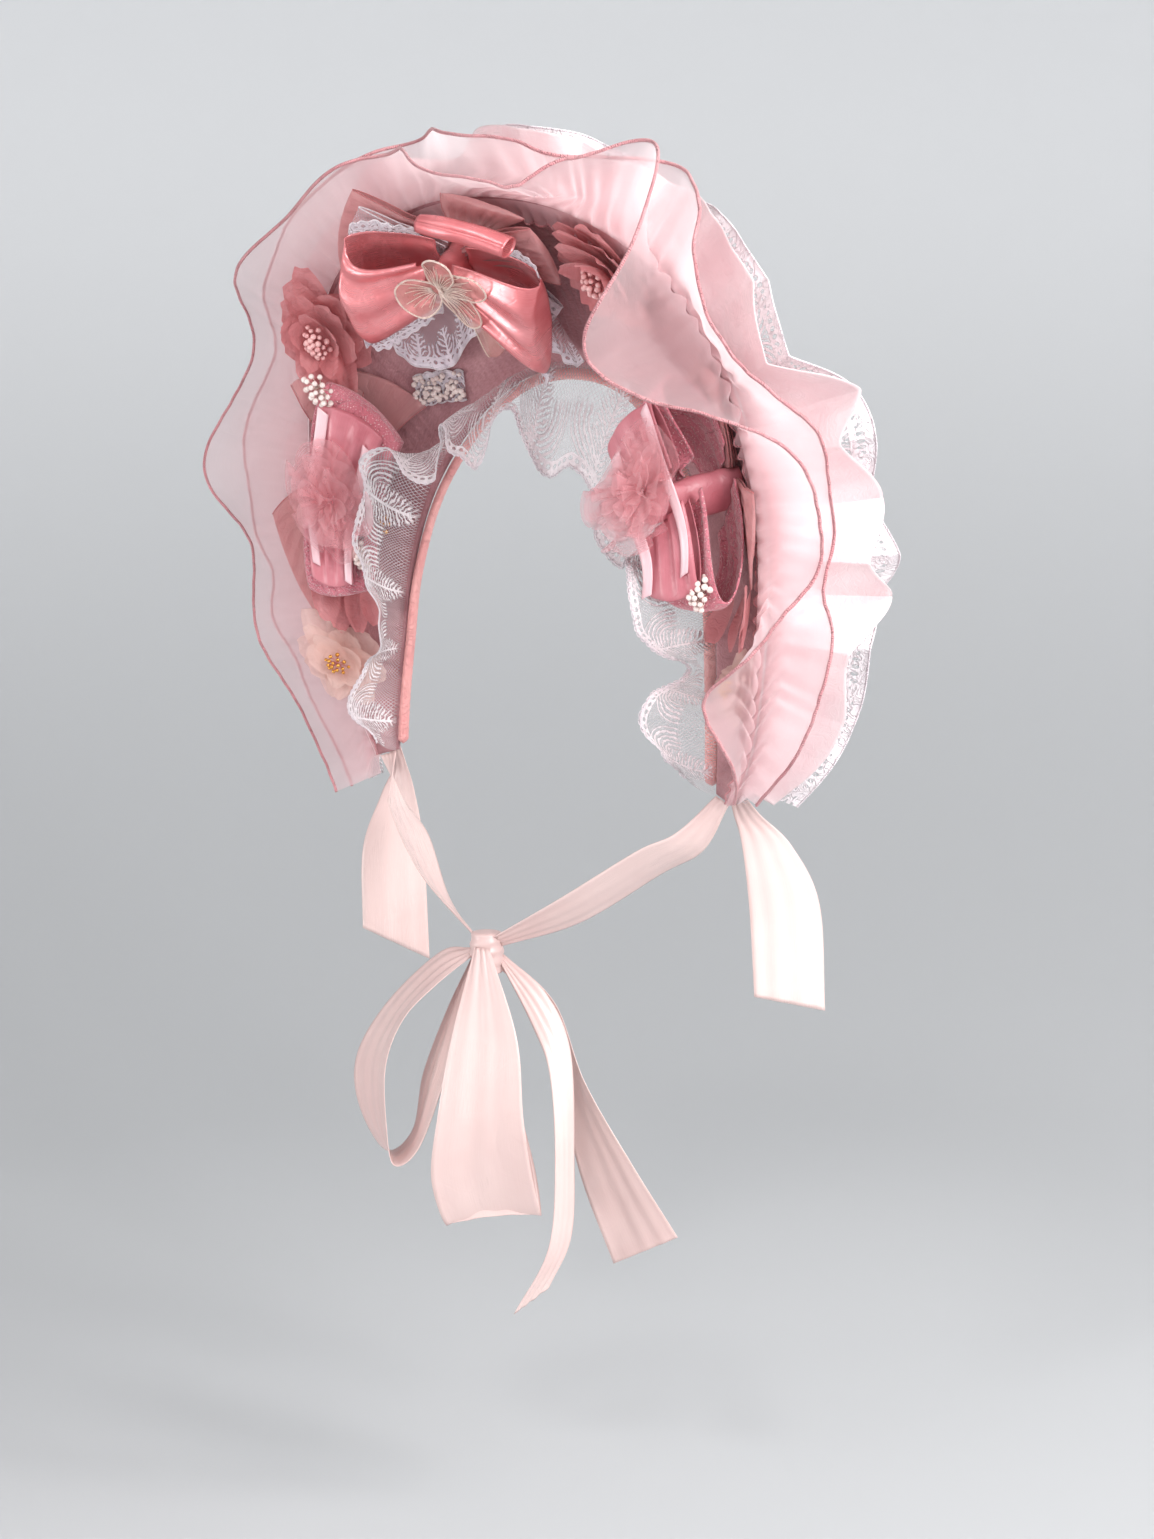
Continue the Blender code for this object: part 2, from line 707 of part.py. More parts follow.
def make_flowers():
    """Chiffon flowers near the top and pale ones near the arms' ends."""
    for name, arc, depth, radius, turns, base in FLOWERS:
        place = patch(arc, depth, 0)
        flower(name, place, radius, base, turns, CREAM if name.startswith("cream") else CHIFFON)
        stamens = (base + FLOWER_STEP * turns + 1.8) * MM
        dome(f"{name}_stamens", place, 0, 0, stamens, radius * 0.3 * MM, radius * 0.3 * MM, CREAM, 8, 5)


def at_chin(points):
    """From the chin bow's own frame (its right, its front, up) to the bonnet's."""
    c, s = math.cos(math.radians(BOW_TURN)), math.sin(math.radians(BOW_TURN))
    right, front, up = np.array([c, s, 0]), np.array([s, -c, 0]), np.array([0, 0, 1])
    return points @ np.stack([right, front, up]) + np.array(KNOT)


def make_ties():
    strip("tie_left", TIE, lambda p: p, PINK_SATIN, 14, 2)
    strip("tie_right", TIE, lambda p: p * np.array([-1, 1, 1]), PINK_SATIN, 14, 2)
    strip("streamer_left", STREAMER_LEFT, lambda p: p, PINK_SATIN, 10, 2)
    strip("streamer_right", STREAMER_RIGHT, lambda p: p, PINK_SATIN, 10, 2)
    strip("chin_loop_right", CHIN_LOOP_RIGHT, at_chin, PINK_SATIN, 22, 2)
    strip("chin_loop_left", CHIN_LOOP_LEFT, at_chin, PINK_SATIN, 22, 2)
    strip("chin_tail_narrow", NARROW_TAIL, at_chin, PINK_SATIN, 18, 1)
    strip("chin_tail_broad", BROAD_TAIL, at_chin, PINK_SATIN, 16, 2)

    def in_knot(x, y, z):
        return at_chin(np.stack([x, y, z], -1) / MM) * MM

    post("chin_knot", in_knot, 7.6, -11, 11, PINK_SATIN)


clear_scene()
BONNET = bpy.data.collections.new("bonnet")
bpy.context.scene.collection.children.link(BONNET)
PINK_SATIN = finish("pink_satin", (0.80, 0.55, 0.56), 0.35)
ROSE_SATIN = finish("rose_satin", (0.66, 0.29, 0.32), 0.32)
ORGANZA = finish("organza", (0.83, 0.58, 0.60), 0.5)
CHIFFON = finish("chiffon", (0.66, 0.34, 0.36), 0.6)
VELVET = finish("velvet", (0.62, 0.30, 0.33), 0.8)
WHITE_LACE = finish("white_lace", (0.88, 0.84, 0.84), 0.7)
CREAM = finish("cream_cloth", (0.85, 0.74, 0.66), 0.6)

make_brim()
make_head_band()
make_ruffles()
make_face_lace()
make_main_bow()
make_side_bow("right", leaning("right", patch(SIDE_PLACE["right"], SIDE_DEPTH, 0)))
make_side_bow("left", mirror(leaning("left", patch(SIDE_PLACE["left"], SIDE_DEPTH, 0))))
make_flowers()
make_ties()
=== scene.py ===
"""A frilled brim bonnet with ribbon ties, dressed: organza, lace, satin bows, cloth flowers and beads.

The frame is the solid model's: the origin is the middle of the head band's top edge, +Z is up, -Y is the
way the face looks and +X is the wearer's left. A place on the brim is given by arc (-1 at the wearer's
right end, 0 at the top, 1 at the left end), by depth (0 at the head band, 1 at the outer edge) and by
height over its front face. Tables of sizes are in millimetres.
"""

import math
from functools import partialmethod

import bmesh
import bpy
import mathutils
import numpy as np
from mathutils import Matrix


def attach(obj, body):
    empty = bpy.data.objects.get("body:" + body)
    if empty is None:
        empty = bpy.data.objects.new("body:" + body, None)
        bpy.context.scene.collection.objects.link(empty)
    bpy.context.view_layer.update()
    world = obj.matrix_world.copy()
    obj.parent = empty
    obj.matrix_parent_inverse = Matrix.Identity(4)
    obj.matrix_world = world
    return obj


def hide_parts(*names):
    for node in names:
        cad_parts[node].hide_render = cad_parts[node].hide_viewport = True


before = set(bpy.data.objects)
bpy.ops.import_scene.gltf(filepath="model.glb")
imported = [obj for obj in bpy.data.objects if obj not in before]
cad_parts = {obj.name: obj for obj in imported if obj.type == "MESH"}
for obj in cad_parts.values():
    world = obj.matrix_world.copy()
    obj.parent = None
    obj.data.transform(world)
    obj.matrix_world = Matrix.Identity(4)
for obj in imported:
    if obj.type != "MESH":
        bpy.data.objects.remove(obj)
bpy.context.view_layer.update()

MM = 0.001
TURN = 2 * math.pi
GOLDEN_ANGLE = 2.39996  # between neighbours in a sunflower spiral
CLOTH = 1.0 * MM
GAP = 0.4 * MM

# Half of the brim, to the left of the top middle, in mm: the head edge and the outer edge at each arc
HALF_BRIM = np.array([
    # arc, head x, head y, head z, outer x, outer y, outer z
    (0.0, 0, 0, 0, 0, -78, 90), (0.17, 36, -1, -8, 60, -73, 80), (0.33, 67, -5, -33, 110, -66, 50),
    (0.47, 90, -10, -68, 139, -56, 4), (0.61, 102, -15, -108, 153, -45, -57),
    (0.77, 107, -18, -150, 149, -36, -130), (0.9, 110, -20, -185, 137, -29, -184),
    (1.0, 111, -21, -210, 124, -25, -214),
])
BRIM_WALL = 2.5 * MM
BRIM_START = 0.02  # the depth at which the brim begins, just outside the head band
BAND_RADIUS = 2.4 * MM
BAND_GAP = 0.7 * MM
BAND_END = 0.985  # the arc at which the band stops, short of the ties
BRIM_BULGE = 8 * MM  # how far the brim's middle bows back
BULGE_FADE = 4  # the bow fades out over the last quarter of each arm

# Ruffle hems, one row a fold: arc, reach from the seam in mm, swing in degrees (+ is to the back),
# slide along the brim in mm
FRONT = np.array([
    # arc, reach, swing, slide
    (-1.0, 32, 0, -10), (-0.9, 36, 12, 0), (-0.8, 48, 4, 0), (-0.7, 46, 14, 0), (-0.6, 66, 6, 0),
    (-0.5, 48, 30, 0), (-0.41, 54, 10, 0), (-0.3, 38, 2, 0), (-0.2, 38, 6, 0), (-0.11, 30, 24, 0),
    (-0.05, 38, -30, 20), (0.02, 38, -42, 36), (0.1, 36, -20, 25), (0.2, 42, 12, 4), (0.28, 58, 14, -4),
    (0.33, 60, -28, 0), (0.37, 70, -66, 0), (0.41, 64, -78, 4), (0.45, 58, -66, 10), (0.5, 52, -38, 6),
    (0.55, 48, -12, 0), (0.62, 42, 16, -2), (0.69, 40, 12, -8), (0.75, 36, -12, -14), (0.81, 40, -52, -18),
    (0.88, 40, -66, -20), (0.94, 30, -50, -18), (1.0, 14, -20, -10),
])
# How much farther back than the layer in front each layer swings, and its own reach
BACK = np.array([
    # arc, reach, more swing
    (-1.0, 26, 14), (-0.8, 42, 16), (-0.66, 48, 12), (-0.52, 50, 14), (-0.3, 38, 18), (-0.14, 34, 14),
    (-0.04, 34, 44), (0.06, 30, 36), (0.2, 34, 20), (0.3, 48, 30), (0.38, 60, 56), (0.45, 58, 46),
    (0.54, 52, 22), (0.64, 40, 14), (0.72, 38, 22), (0.82, 44, 72), (0.9, 36, 70), (1.0, 16, 26),
])
RIBBON = np.array([
    # arc, reach, more swing: sharp folds, alternately near to the organza and far from it
    (-1.0, 24, 18), (-0.9, 34, 34), (-0.8, 36, 18), (-0.7, 42, 40), (-0.6, 40, 18), (-0.5, 44, 34),
    (-0.4, 42, 18), (-0.3, 42, 40), (-0.2, 36, 20), (-0.1, 32, 34), (0.0, 34, 16), (0.08, 32, 30),
    (0.16, 30, 16), (0.24, 36, 34), (0.32, 38, 16), (0.4, 46, 34), (0.46, 44, 12), (0.52, 62, 36),
    (0.57, 46, 16), (0.63, 58, 38), (0.69, 50, 16), (0.74, 60, 40), (0.8, 44, 14), (0.88, 44, 26),
    (1.0, 20, 16),
])
LACE = np.array([
    # arc, reach, more swing
    (-1.0, 34, 12), (-0.88, 50, 24), (-0.76, 50, 12), (-0.64, 56, 26), (-0.52, 52, 12), (-0.4, 54, 24),
    (-0.28, 46, 12), (-0.14, 34, 20), (0.0, 32, 12), (0.14, 32, 22), (0.26, 34, 12), (0.36, 38, 18),
    (0.46, 44, 14), (0.56, 56, 24), (0.63, 52, 10), (0.7, 62, 22), (0.78, 50, 12), (0.88, 46, 22),
    (1.0, 28, 12),
])
# The lace round the face, one row a fold: arc, forward, inward and along the brim, in mm
FACE = np.array([
    # arc, forward, inward, slide
    (-1.0, 22, 5, 8), (-0.9, 45, 5, 5), (-0.82, 30, 2, 2), (-0.75, 40, 22, 0), (-0.68, 40, 8, 10),
    (-0.6, 56, 4, 12), (-0.53, 54, 2, 14), (-0.47, 60, -4, 12), (-0.42, 56, 2, 8), (-0.38, 58, 24, -6),
    (-0.34, 52, 38, -10), (-0.29, 46, 16, 0), (-0.24, 54, 40, -10), (-0.2, 46, 50, -12), (-0.15, 40, 30, 0),
    (-0.1, 32, 26, 0), (-0.05, 28, 44, 0), (0.0, 20, 60, 0), (0.07, 20, 60, 8), (0.15, 16, 56, 14),
    (0.22, 22, 50, 22), (0.3, 34, 42, 24), (0.4, 46, 36, 26), (0.46, 44, 28, 30), (0.5, 52, 18, 22),
    (0.56, 60, 6, 14), (0.63, 62, 4, 8), (0.69, 52, 8, 6), (0.74, 30, 4, 0), (0.78, 16, 6, -6),
    (0.84, 50, 4, -10), (0.9, 54, 6, -14), (0.95, 46, 2, -14), (1.0, 22, 2, -10),
])
STEEPEST = 112  # degrees: no ruffle folds farther back than this
STRAIGHT = 0.4  # the share of its reach over which a ruffle takes its swing

# The depth of each seam, and the heights of the layers over the brim's front face
ORGANZA_SEAM = 1.0
BACK_SEAM = 0.95
LACE_SEAM = 0.94
LACE_BEHIND = 2.8 * MM
FACE_SEAM = 0.06
FACET = 0.5 * MM  # how far the flat facets of two curved walls may come towards each other
UNDER_ORGANZA = FACET + GAP + CLOTH / 2
OVER_ORGANZA = UNDER_ORGANZA + CLOTH + GAP
BEHIND = -BRIM_WALL - FACET - GAP - CLOTH / 2

# The gathered heading over the organza's seam
HEADER_START = 0.90
HEADER_DEPTH = 0.075

# The scallops of the lace round the face, and the small rings along its hem
FACE_SCALLOP = 0.052
RING_SPACING = 0.0042
RING_RADIUS = 1.1 * MM

# The main bow's loops, in mm: x along the arch and y outward from the knot. A loop runs from the knot to
# its far edge, which joins two points, turns there and comes home higher.
MAIN_LOOPS = [
    # name, far edge's first x, y, second x, y, base, puff, neck
    ("chiffon_loop_1", -34, 60, -70, 34, 5.6, 5, 16), ("chiffon_loop_2", 56, 26, 16, 42, 7.4, 4, 14),
    ("chiffon_loop_3", 64, -14, 64, 26, 12.6, 6, 14), ("lace_loop_1", -32, 52, -60, 32, 12.2, 4, 14),
    ("lace_loop_2", -40, -18, -12, -42, 5.6, 5, 12), ("lace_loop_3", 13, -60, 47, -40, 5.6, 5, 12),
    ("satin_loop_left", -38, 46, -76, 6, 18.6, 24, 34), ("satin_loop_right", 45, -60, 68, 0, 18.6, 24, 34),
]
MAIN_KNOT_TOP = 36
# A side bow: the same, with x up the arm and y outward. The one on the wearer's left leans outward.
SIDE_LOOPS = [
    # name, far edge's first x, y, second x, y, base, puff, neck
    ("side_chiffon_1", 82, -27, 46, 26, 2.0, 2.6, 14), ("side_chiffon_2", 56, 4, 27, 44, 6.6, 2.3, 14),
    ("side_chiffon_3", -28, 48, -62, 28, 5.4, 2.6, 14), ("side_velvet_upper", 61, -26, 54, 18, 9.8, 30, 42),
    ("side_velvet_lower", -68, 30, -50, -22, 9.7, 30, 42),
    ("side_satin_upper", 60, -18, 46, 16, 34.6, 6, 30),
    ("side_satin_lower", -57, 20, -46, -16, 34.6, 6, 30),
]
SIDE_KNOT_TOP = 41.5
MAIN_PLACE = (-0.08, 0.72)  # arc and depth of the main bow's knot
SIDE_PLACE = {"right": -0.575, "left": -0.55}  # the side knots' arcs; the left one is mirrored
SIDE_DEPTH = 0.60
LEAN_FROM, LEAN_TO = 9, 45  # the heights in mm between which a side bow is stretched
LEAN = {"right": (0, 0), "left": (0.26, 0.017)}  # the stretch, and how much less it is for each mm outward

# Flowers, in mm: a flower's top lies a step over its base for each of its turns
FLOWER_STEP = 4.5
FLOWERS = [
    # name, arc, depth, radius, turns, base
    ("flower_right", -0.41, 0.94, 29, 2.0, 4.3), ("flower_left", 0.21, 0.72, 29, 2.0, 1.7),
    ("cream_flower_right", -0.84, 0.92, 20, 1.4, 4.3), ("cream_flower_left", 0.81, 0.52, 15, 1.4, 1.2),
]

# The beaded braid, in mm
BEADED_LENGTH = 34
BEADED_WIDTH = 14

# The narrow ribbons and the tulle puff on a side bow, in mm
NARROW_HEIGHT = {"right": 41.5, "left": 41.1}  # both just clear the satin loops
NARROW_LENGTH = 90
NARROW_WIDTH = 6
NARROW_SPACING = 26
PUFF_RADIUS = 20
PUFF_PLACE = {"right": 0, "left": 10}  # how far up the arm the tulle puff sits
PUFF_HEIGHT = {"right": 20, "left": 16}

# The ties and the bow under the chin, in millimetres
KNOT = (0, -72, -300)
BOW_TURN = 25  # the bow hangs turned a little to the wearer's left
TIE = [
    # one edge x y z, other edge x y z
    (112, -21.8, -211.1, 122, -24, -214.1), (100, -40, -229, 104, -22, -240),
    (86, -54, -238, 82, -28, -254), (50, -70, -264, 46, -50, -281), (7.6, -75, -290, 7.6, -69, -296),
]
STREAMER_LEFT = [
    (115.4, -17.6, -203, 124, -20.4, -204.5), (117, -14, -220, 129, -8, -220),
    (121, -12, -236, 138, 8, -238), (124, -9, -270, 146, 22, -270), (127, -8, -316, 149, 24, -326),
]
STREAMER_RIGHT = [
    (-124, -20.4, -204.5, -115.4, -17.6, -203), (-128, -8, -222, -116, -10, -219),
    (-134, -12, -240, -117, -2, -237), (-140, -21, -270, -118, 6, -270), (-140, -22, -316, -116, 8, -336),
]
CHIN_LOOP_RIGHT = [
    (-8.6, -1, 2, -6.6, 6, -1), (-29, -10, -4, -24, 14, -16), (-60, -14, -34, -40, 20, -34),
    (-78, -14, -65, -50, 20, -60), (-77, -14, -93, -50, 20, -92), (-62, -14, -117, -46, 20, -114),
    (-46, -14, -104, -32, 20, -104), (-40, -14, -72, -18, 18, -66), (-24, -8, -34, -12, 10, -30),
    (-8.6, -1, -5, -6.6, 6, -7),
]
CHIN_LOOP_LEFT = [
    (-4, 8.8, 4, 4, 8.8, 4), (-13, 20, -40, 22, 20, -40), (-19, 26, -80, 27, 26, -80),
    (-24, 24, -118, 31, 24, -112), (-18, 16, -146, 34, 16, -136), (-20, 8, -118, 28, 8, -112),
    (-10, 6, -70, 16, 6, -70), (-3, 3, -32, 5, 3, -32), (-3, 2, -12, 3, 2, -12),
]
NARROW_TAIL = [
    (8.2, -2, -1, 8.2, 2, -5), (32, 0, -20, 27, 8, -36), (46, 2, -50, 38, 14, -60),
    (48, 2, -107, 42, 18, -105), (47, 4, -150, 39, 20, -152), (36, 8, -178, 20, 20, -190),
]
BROAD_TAIL = [
    (2, -8.3, -8, 7, -8.3, -3), (24, -14, -34, 34, -10, -28), (36, -16, -80, 52, -4, -68),
    (48, -14, -125, 78, -2, -110), (66, -12, -169, 103, -2, -148),
]

# Forms that the scene alone has, in mm: a place is x, y on a bow, and its height over the brim
CHIFFON_OUTSIDE = (-48, 72, -86, 46)  # the far edge of the right bow's lower chiffon loop, past the velvet
ROLL_FROM, ROLL_TO = (9.8, 36.9), (53.9, 19.6)  # the rolled satin over the main bow
ROLL_HEIGHT, ROLL_RADIUS = 26, 6.4
LACE_UNDER = {  # lace under the main bow: x, y and height of its gathered edge, then of its hem
    "left": [
        (-66, 2, 16, -80, -12, 13), (-58, -10, 14, -80, -32, 11), (-40, -16, 12, -62, -50, 10),
        (-22, -16, 12, -40, -46, 10), (-6, -12, 12, -20, -44, 10),
    ],
    "right": [
        (2, -12, 12, -8, -42, 10), (14, -16, 12, 8, -50, 9), (30, -26, 13, 26, -66, 10),
        (44, -40, 14, 44, -72, 12), (52, -48, 16, 58, -66, 14),
    ],
}
EDGINGS = [
    # lace along a satin loop: name, along its lower edge, from and to as shares of the loop, seed, width
    ("low", True, 0.54, 0.9, 150, 11), ("under", True, 0.08, 0.48, 160, 14),
    ("top", False, 0.10, 0.46, 170, 9),
]
WINGS = [
    # way in degrees, length, width, how steeply it rises
    (182, 32, 26, 0.12), (0, 36, 20, 0.12), (44, 32, 18, 0.2), (-60, 29, 21, 0.1),
]
RAYS = 9  # stitched lines on a wing
SHEER_PLACE, SHEER_LOOP = (-0.15, 0.42), ((-7, -24, 7, -24), 7.2, 8, 6)  # its far edge, base, puff and neck
BRAID_PLACE, BRAID_BEADS = (-0.33, 0.27, -38), 76  # arc, depth and turn in degrees
KNOT_RADIUS, KNOT_FOOT = 8, 0.9
CHIN_KNOT_RADIUS, CHIN_KNOT_HALF = 7.6, 11
# Clusters of pearls and the gilt beads on a side bow
PEARL_PLACES = {"right": ((52, 18, 36), (-24, -20, 34)), "left": ((-57, 17, 33),)}
PEARL_SPREAD, PEARL_COUNT, PEARL_RADIUS = 8.5, 22, 1.55
GILT_PLACES = [[-2, -26], [-6, -28], [3, -27], [-3, -23], [1, -29]]
GILT_HEIGHT = 14
# Petals at the end of a side bow: x, y, way in radians, length; and the width of each
SIDE_PETALS = [(-58, 14, 2.9, 30), (-56, 2, 3.3, 28), (-60, 20, 2.5, 26), (-50, -10, 3.7, 26)]
SIDE_PETAL_WIDTH = 24
CREAM_SPREAD = 1.25  # a cream flower's petals against its solid
# A flower's rings: petals, length as a share of the radius, how far up the flower, tilt
ROSE_RINGS = [(6, 1.14, 0.0, 0.14), (6, 1.04, 0.2, 0.24), (6, 0.86, 0.42, 0.4), (5, 0.62, 0.66, 0.75)]
CREAM_RINGS = [(6, 1.1, 0.0, 0.16), (6, 0.9, 0.3, 0.3), (5, 0.62, 0.6, 0.6)]
FLOWER_KINDS = {
    # its rings, slot and cloth, its beads' cloth, count and radius, its spread
    "cream": (CREAM_RINGS, "cream_chiffon", "cream_cloth", "gilt", 16, 1.1, CREAM_SPREAD),
    "flower": (ROSE_RINGS, "rose_chiffon", "petal_cloth", "stamen", 26, 1.5, 1),
}
HEADER_MORE = 0.05  # how much deeper the header frill reaches than its solid
SATIN_WALL = 0.4  # the thickness of satin ribbon
FINE_CORD = 0.3  # the radius of the threads that hold beads

BOW_CLOTHS = {
    # loops: cloth, slot, wall, crown, fold, folds at the neck, fade, the upper half's lean, cord along the
    # edges, its radius
    "chiffon_loop": ("chiffon", "rose_chiffon", 0.3, 2.5, 1.6, 6, 0.85, 0, "chiffon_hem", 0.35),
    "lace_loop": ("loop_lace", "white_lace", 0, 2, 1.0, 6, 0.85, 0, "lace_cord", 0.4),
    "satin_loop": ("rose_satin", "rose_satin", SATIN_WALL, 9, 3.6, 2.6, 0.62, 12, None, 0),
    "side_chiffon": ("chiffon", "rose_chiffon", 0.3, 1, 0.8, 5, 0.85, 0, "chiffon_hem", 0.35),
    "side_velvet": ("velvet", "glitter_velvet", 1.0, 4, 2.2, 3, 0.85, 0, None, 0),
    "side_satin": ("side_satin", "pink_satin", SATIN_WALL, 2, 1.6, 3.4, 0.85, 0, None, 0),
}
FRILLS = [
    # name, slot, cloth, hem's cord, its radius, solid, rows of its lines, its seam's depth and height,
    # wall, gathers: fine spacing in metres and size in mm, broad spacing and size, seed
    ("organza_frill_front", "organza", "organza", "organza_cord", 0.9, "organza_front", FRONT,
     ORGANZA_SEAM, OVER_ORGANZA, 0, (0.011, 2.6, 0.055, 3.0, 11)),
    ("organza_frill_back", "organza", "organza", "organza_cord", 0.9, "organza_back", FRONT,
     ORGANZA_SEAM, UNDER_ORGANZA, 0, (0.011, 2.3, 0.050, 3.0, 21)),
    ("ribbon_frill", "pink_satin", "ribbon_satin", None, 0, "ribbon_ruffle", RIBBON,
     BACK_SEAM, BEHIND, SATIN_WALL, (0.012, 0.8, 0.070, 1.0, 31)),
    ("lace_frill", "white_lace", "back_lace", "lace_cord", 0.5, "back_lace", RIBBON,
     LACE_SEAM, BEHIND - LACE_BEHIND, 0, (0.010, 0.8, 0.060, 1.2, 41)),
]
RIBBONS = [
    # name, its edges, which frame they are in, points along and across, crown, fold in mm, what it rests on
    ("tie_left", TIE, "plain", 90, 21, 0.06, 0.5, ["brim", "chin_knot"]),
    ("tie_right", TIE, "mirrored", 90, 21, 0.06, 0.5, ["brim", "chin_knot"]),
    ("streamer_left", STREAMER_LEFT, "plain", 90, 21, 0.05, 0.5, ["brim"]),
    ("streamer_right", STREAMER_RIGHT, "plain", 90, 21, 0.05, 0.5, ["brim"]),
    ("chin_loop_right", CHIN_LOOP_RIGHT, "chin", 150, 25, 0.06, 0.7, ["chin_knot"]),
    ("chin_loop_left", CHIN_LOOP_LEFT, "chin", 150, 25, 0.06, 0.7, ["chin_knot"]),
    ("chin_tail_narrow", NARROW_TAIL, "chin", 120, 17, 0.06, 0.4, ["chin_knot"]),
    ("chin_tail_broad", BROAD_TAIL, "chin", 120, 21, 0.06, 0.6, ["chin_knot"]),
]

# The stage and the camera: metres, degrees, pixels of the 1154 x 1539 frame
FLOOR = -0.60
SWEEP_START, SWEEP_RADIUS, WALL_HEIGHT = 0.7, 1.6, 0.6  # where the floor bends up, the wall over the bend
FLOOR_TINT, WALL_TINT, SKY_TINT = (186, 188, 190), (226, 228, 230), (236, 238, 241)
TINT_RISE = 0.9  # over this height the floor's tint turns into the wall's
SKY_STRENGTH = 0.27
LAMPS = [
    # name, place, aim, size, watts, tint
    ("side", (1.9, -0.6, 0.5), (0.1, 0, -0.1), 0.7, 29, (1.0, 0.99, 0.99)),
    ("window", (1.3, 0.3, 1.0), (0, 0, -0.1), 0.9, 33, (1.0, 0.98, 0.97)),
    ("front", (-0.5, -1.5, 0.9), (0, 0, -0.1), 0.8, 3, (1.0, 0.98, 0.97)),
    ("key", (0.2, -1.3, 1.2), (0, 0, 0), 0.3, 6, (1.0, 0.99, 0.98)),
    ("low", (-0.55, -0.95, -0.4), (0, 0, 0), 0.35, 3.5, (1.0, 0.97, 0.96)),
]
LENS, FILM = 65, 36
CAMERA_TURN, CAMERA_PITCH, CAMERA_DISTANCE = 40, 9.5, 1.463
PHOTO_WIDTH, PHOTO_HEIGHT = 1154, 1539
ORIGIN_PIXEL = (575, 372)

STEP = 1e-3  # the small change of arc or depth that a direction is measured over
SECTIONS = np.vstack([HALF_BRIM[:0:-1] * (-1, -1, 1, 1, -1, 1, 1), HALF_BRIM])


def smooth(x, rows, column):
    """The column read at x along a smooth curve that passes through every row (cubic Hermite)."""
    xs, ys = rows[:, 0], rows[:, column]
    slopes = np.gradient(ys, xs)
    i = np.clip(np.searchsorted(xs, x, side="right") - 1, 0, len(xs) - 2)
    step = xs[i + 1] - xs[i]
    u = (x - xs[i]) / step
    return (
        (2 * u**3 - 3 * u**2 + 1) * ys[i]
        + (u**3 - 2 * u**2 + u) * step * slopes[i]
        + (3 * u**2 - 2 * u**3) * ys[i + 1]
        + (u**3 - u**2) * step * slopes[i + 1]
    )


def triple(x, rows, first):
    """Three columns read at x, as points."""
    return np.stack([smooth(x, rows, first + k) for k in range(3)], -1)


def resampled(t, s, line):
    """A line of points whose own parameter is s, read at t."""
    return np.stack([np.interp(t, s, line[:, k]) for k in range(3)], -1)


def unit(vectors):
    return vectors / np.linalg.norm(vectors, axis=-1, keepdims=True)


def across_of(points):
    """The unit normal at each point of a grid."""
    return unit(np.cross(*np.gradient(points, axis=(0, 1))) + 1e-12)


def edge(arc, first):
    """The brim's head edge (first column 1) or its outer edge (4) at this arc."""
    return triple(arc, SECTIONS, first) * MM


def ruled(arc, depth):
    """The straight-ruled brim between its head edge and its outer edge."""
    head, outer = edge(arc, 1), edge(arc, 4)
    return head + depth[..., None] * (outer - head)


def directions(arc, depth):
    """Unit vectors on the brim: outward, backward through the cloth, and along the arch."""
    along = unit(ruled(np.minimum(arc + STEP, 1), depth) - ruled(np.maximum(arc - STEP, -1), depth))
    outward = edge(arc, 4) - edge(arc, 1)
    outward = unit(outward - (outward * along).sum(-1, keepdims=True) * along)
    return outward, np.cross(outward, along), along


def on_brim(arc, depth, height):
    """A point at this height in metres over the brim's front face: the ruled face, bowed back by a
    parabola over its depth."""
    arc, depth, height = np.broadcast_arrays(*(np.asarray(v, float) for v in (arc, depth, height)))
    back = directions(arc, depth)[1]
    fade = np.clip((1 - np.abs(arc)) * BULGE_FADE, 0, 1)
    bow = BRIM_BULGE * 4 * np.clip(depth, 0, 1) * (1 - np.clip(depth, 0, 1)) * fade
    return ruled(arc, depth) + (bow - height)[..., None] * back


def patch(arc, depth, turn=0):
    """A flat drawing laid on the brim: x, y and height in mm from this place, turned by this angle."""
    ends = ruled(arc + STEP * np.array([1, -1, 0, 0]), depth + STEP * np.array([0, 0, 1, -1]))
    per_arc, per_depth = (np.linalg.norm(ends[k] - ends[k + 1]) / (2 * STEP) for k in (0, 2))
    c, s = math.cos(math.radians(turn)), math.sin(math.radians(turn))

    def place(x, y, height):
        x, y, height = x * MM, y * MM, height * MM
        a = np.clip(arc + (x * c - y * s) / per_arc, -1, 1)
        return on_brim(a, depth + (x * s + y * c) / per_depth, height)

    return place


def side_patch(side):
    """A side bow's drawing. On this arm its heights are stretched, more on the side of the head, and the
    left one is mirrored from the right arm."""
    place = patch(SIDE_PLACE[side], SIDE_DEPTH)
    stretch, fall = LEAN[side]

    def placed(x, y, height):
        grown = np.clip(height, LEAN_FROM, LEAN_TO) - LEAN_FROM
        points = place(x, y, height + grown * (stretch - fall * y))
        return points * (-1, 1, 1) if side == "left" else points

    return placed


def at_chin(points):
    """From the chin bow's own frame (its right, its front, up) to the bonnet's, in mm."""
    c, s = math.cos(math.radians(BOW_TURN)), math.sin(math.radians(BOW_TURN))
    return points @ np.array([(c, s, 0), (s, -c, 0), (0, 0, 1)]) + KNOT


def swing(arc, layer):
    """How far back a layer of ruffle swings, in degrees: the front layer's swing and, for each layer behind
    it, that layer's more. The ribbon's runs straight from row to row, for sharp creases."""
    front, back, lace = (smooth(arc, rows, 2) for rows in (FRONT, BACK, LACE))
    more = front, back, np.interp(arc, *RIBBON[:, (0, 2)].T), lace
    return np.minimum(sum(more[: layer + 1]), STEEPEST)


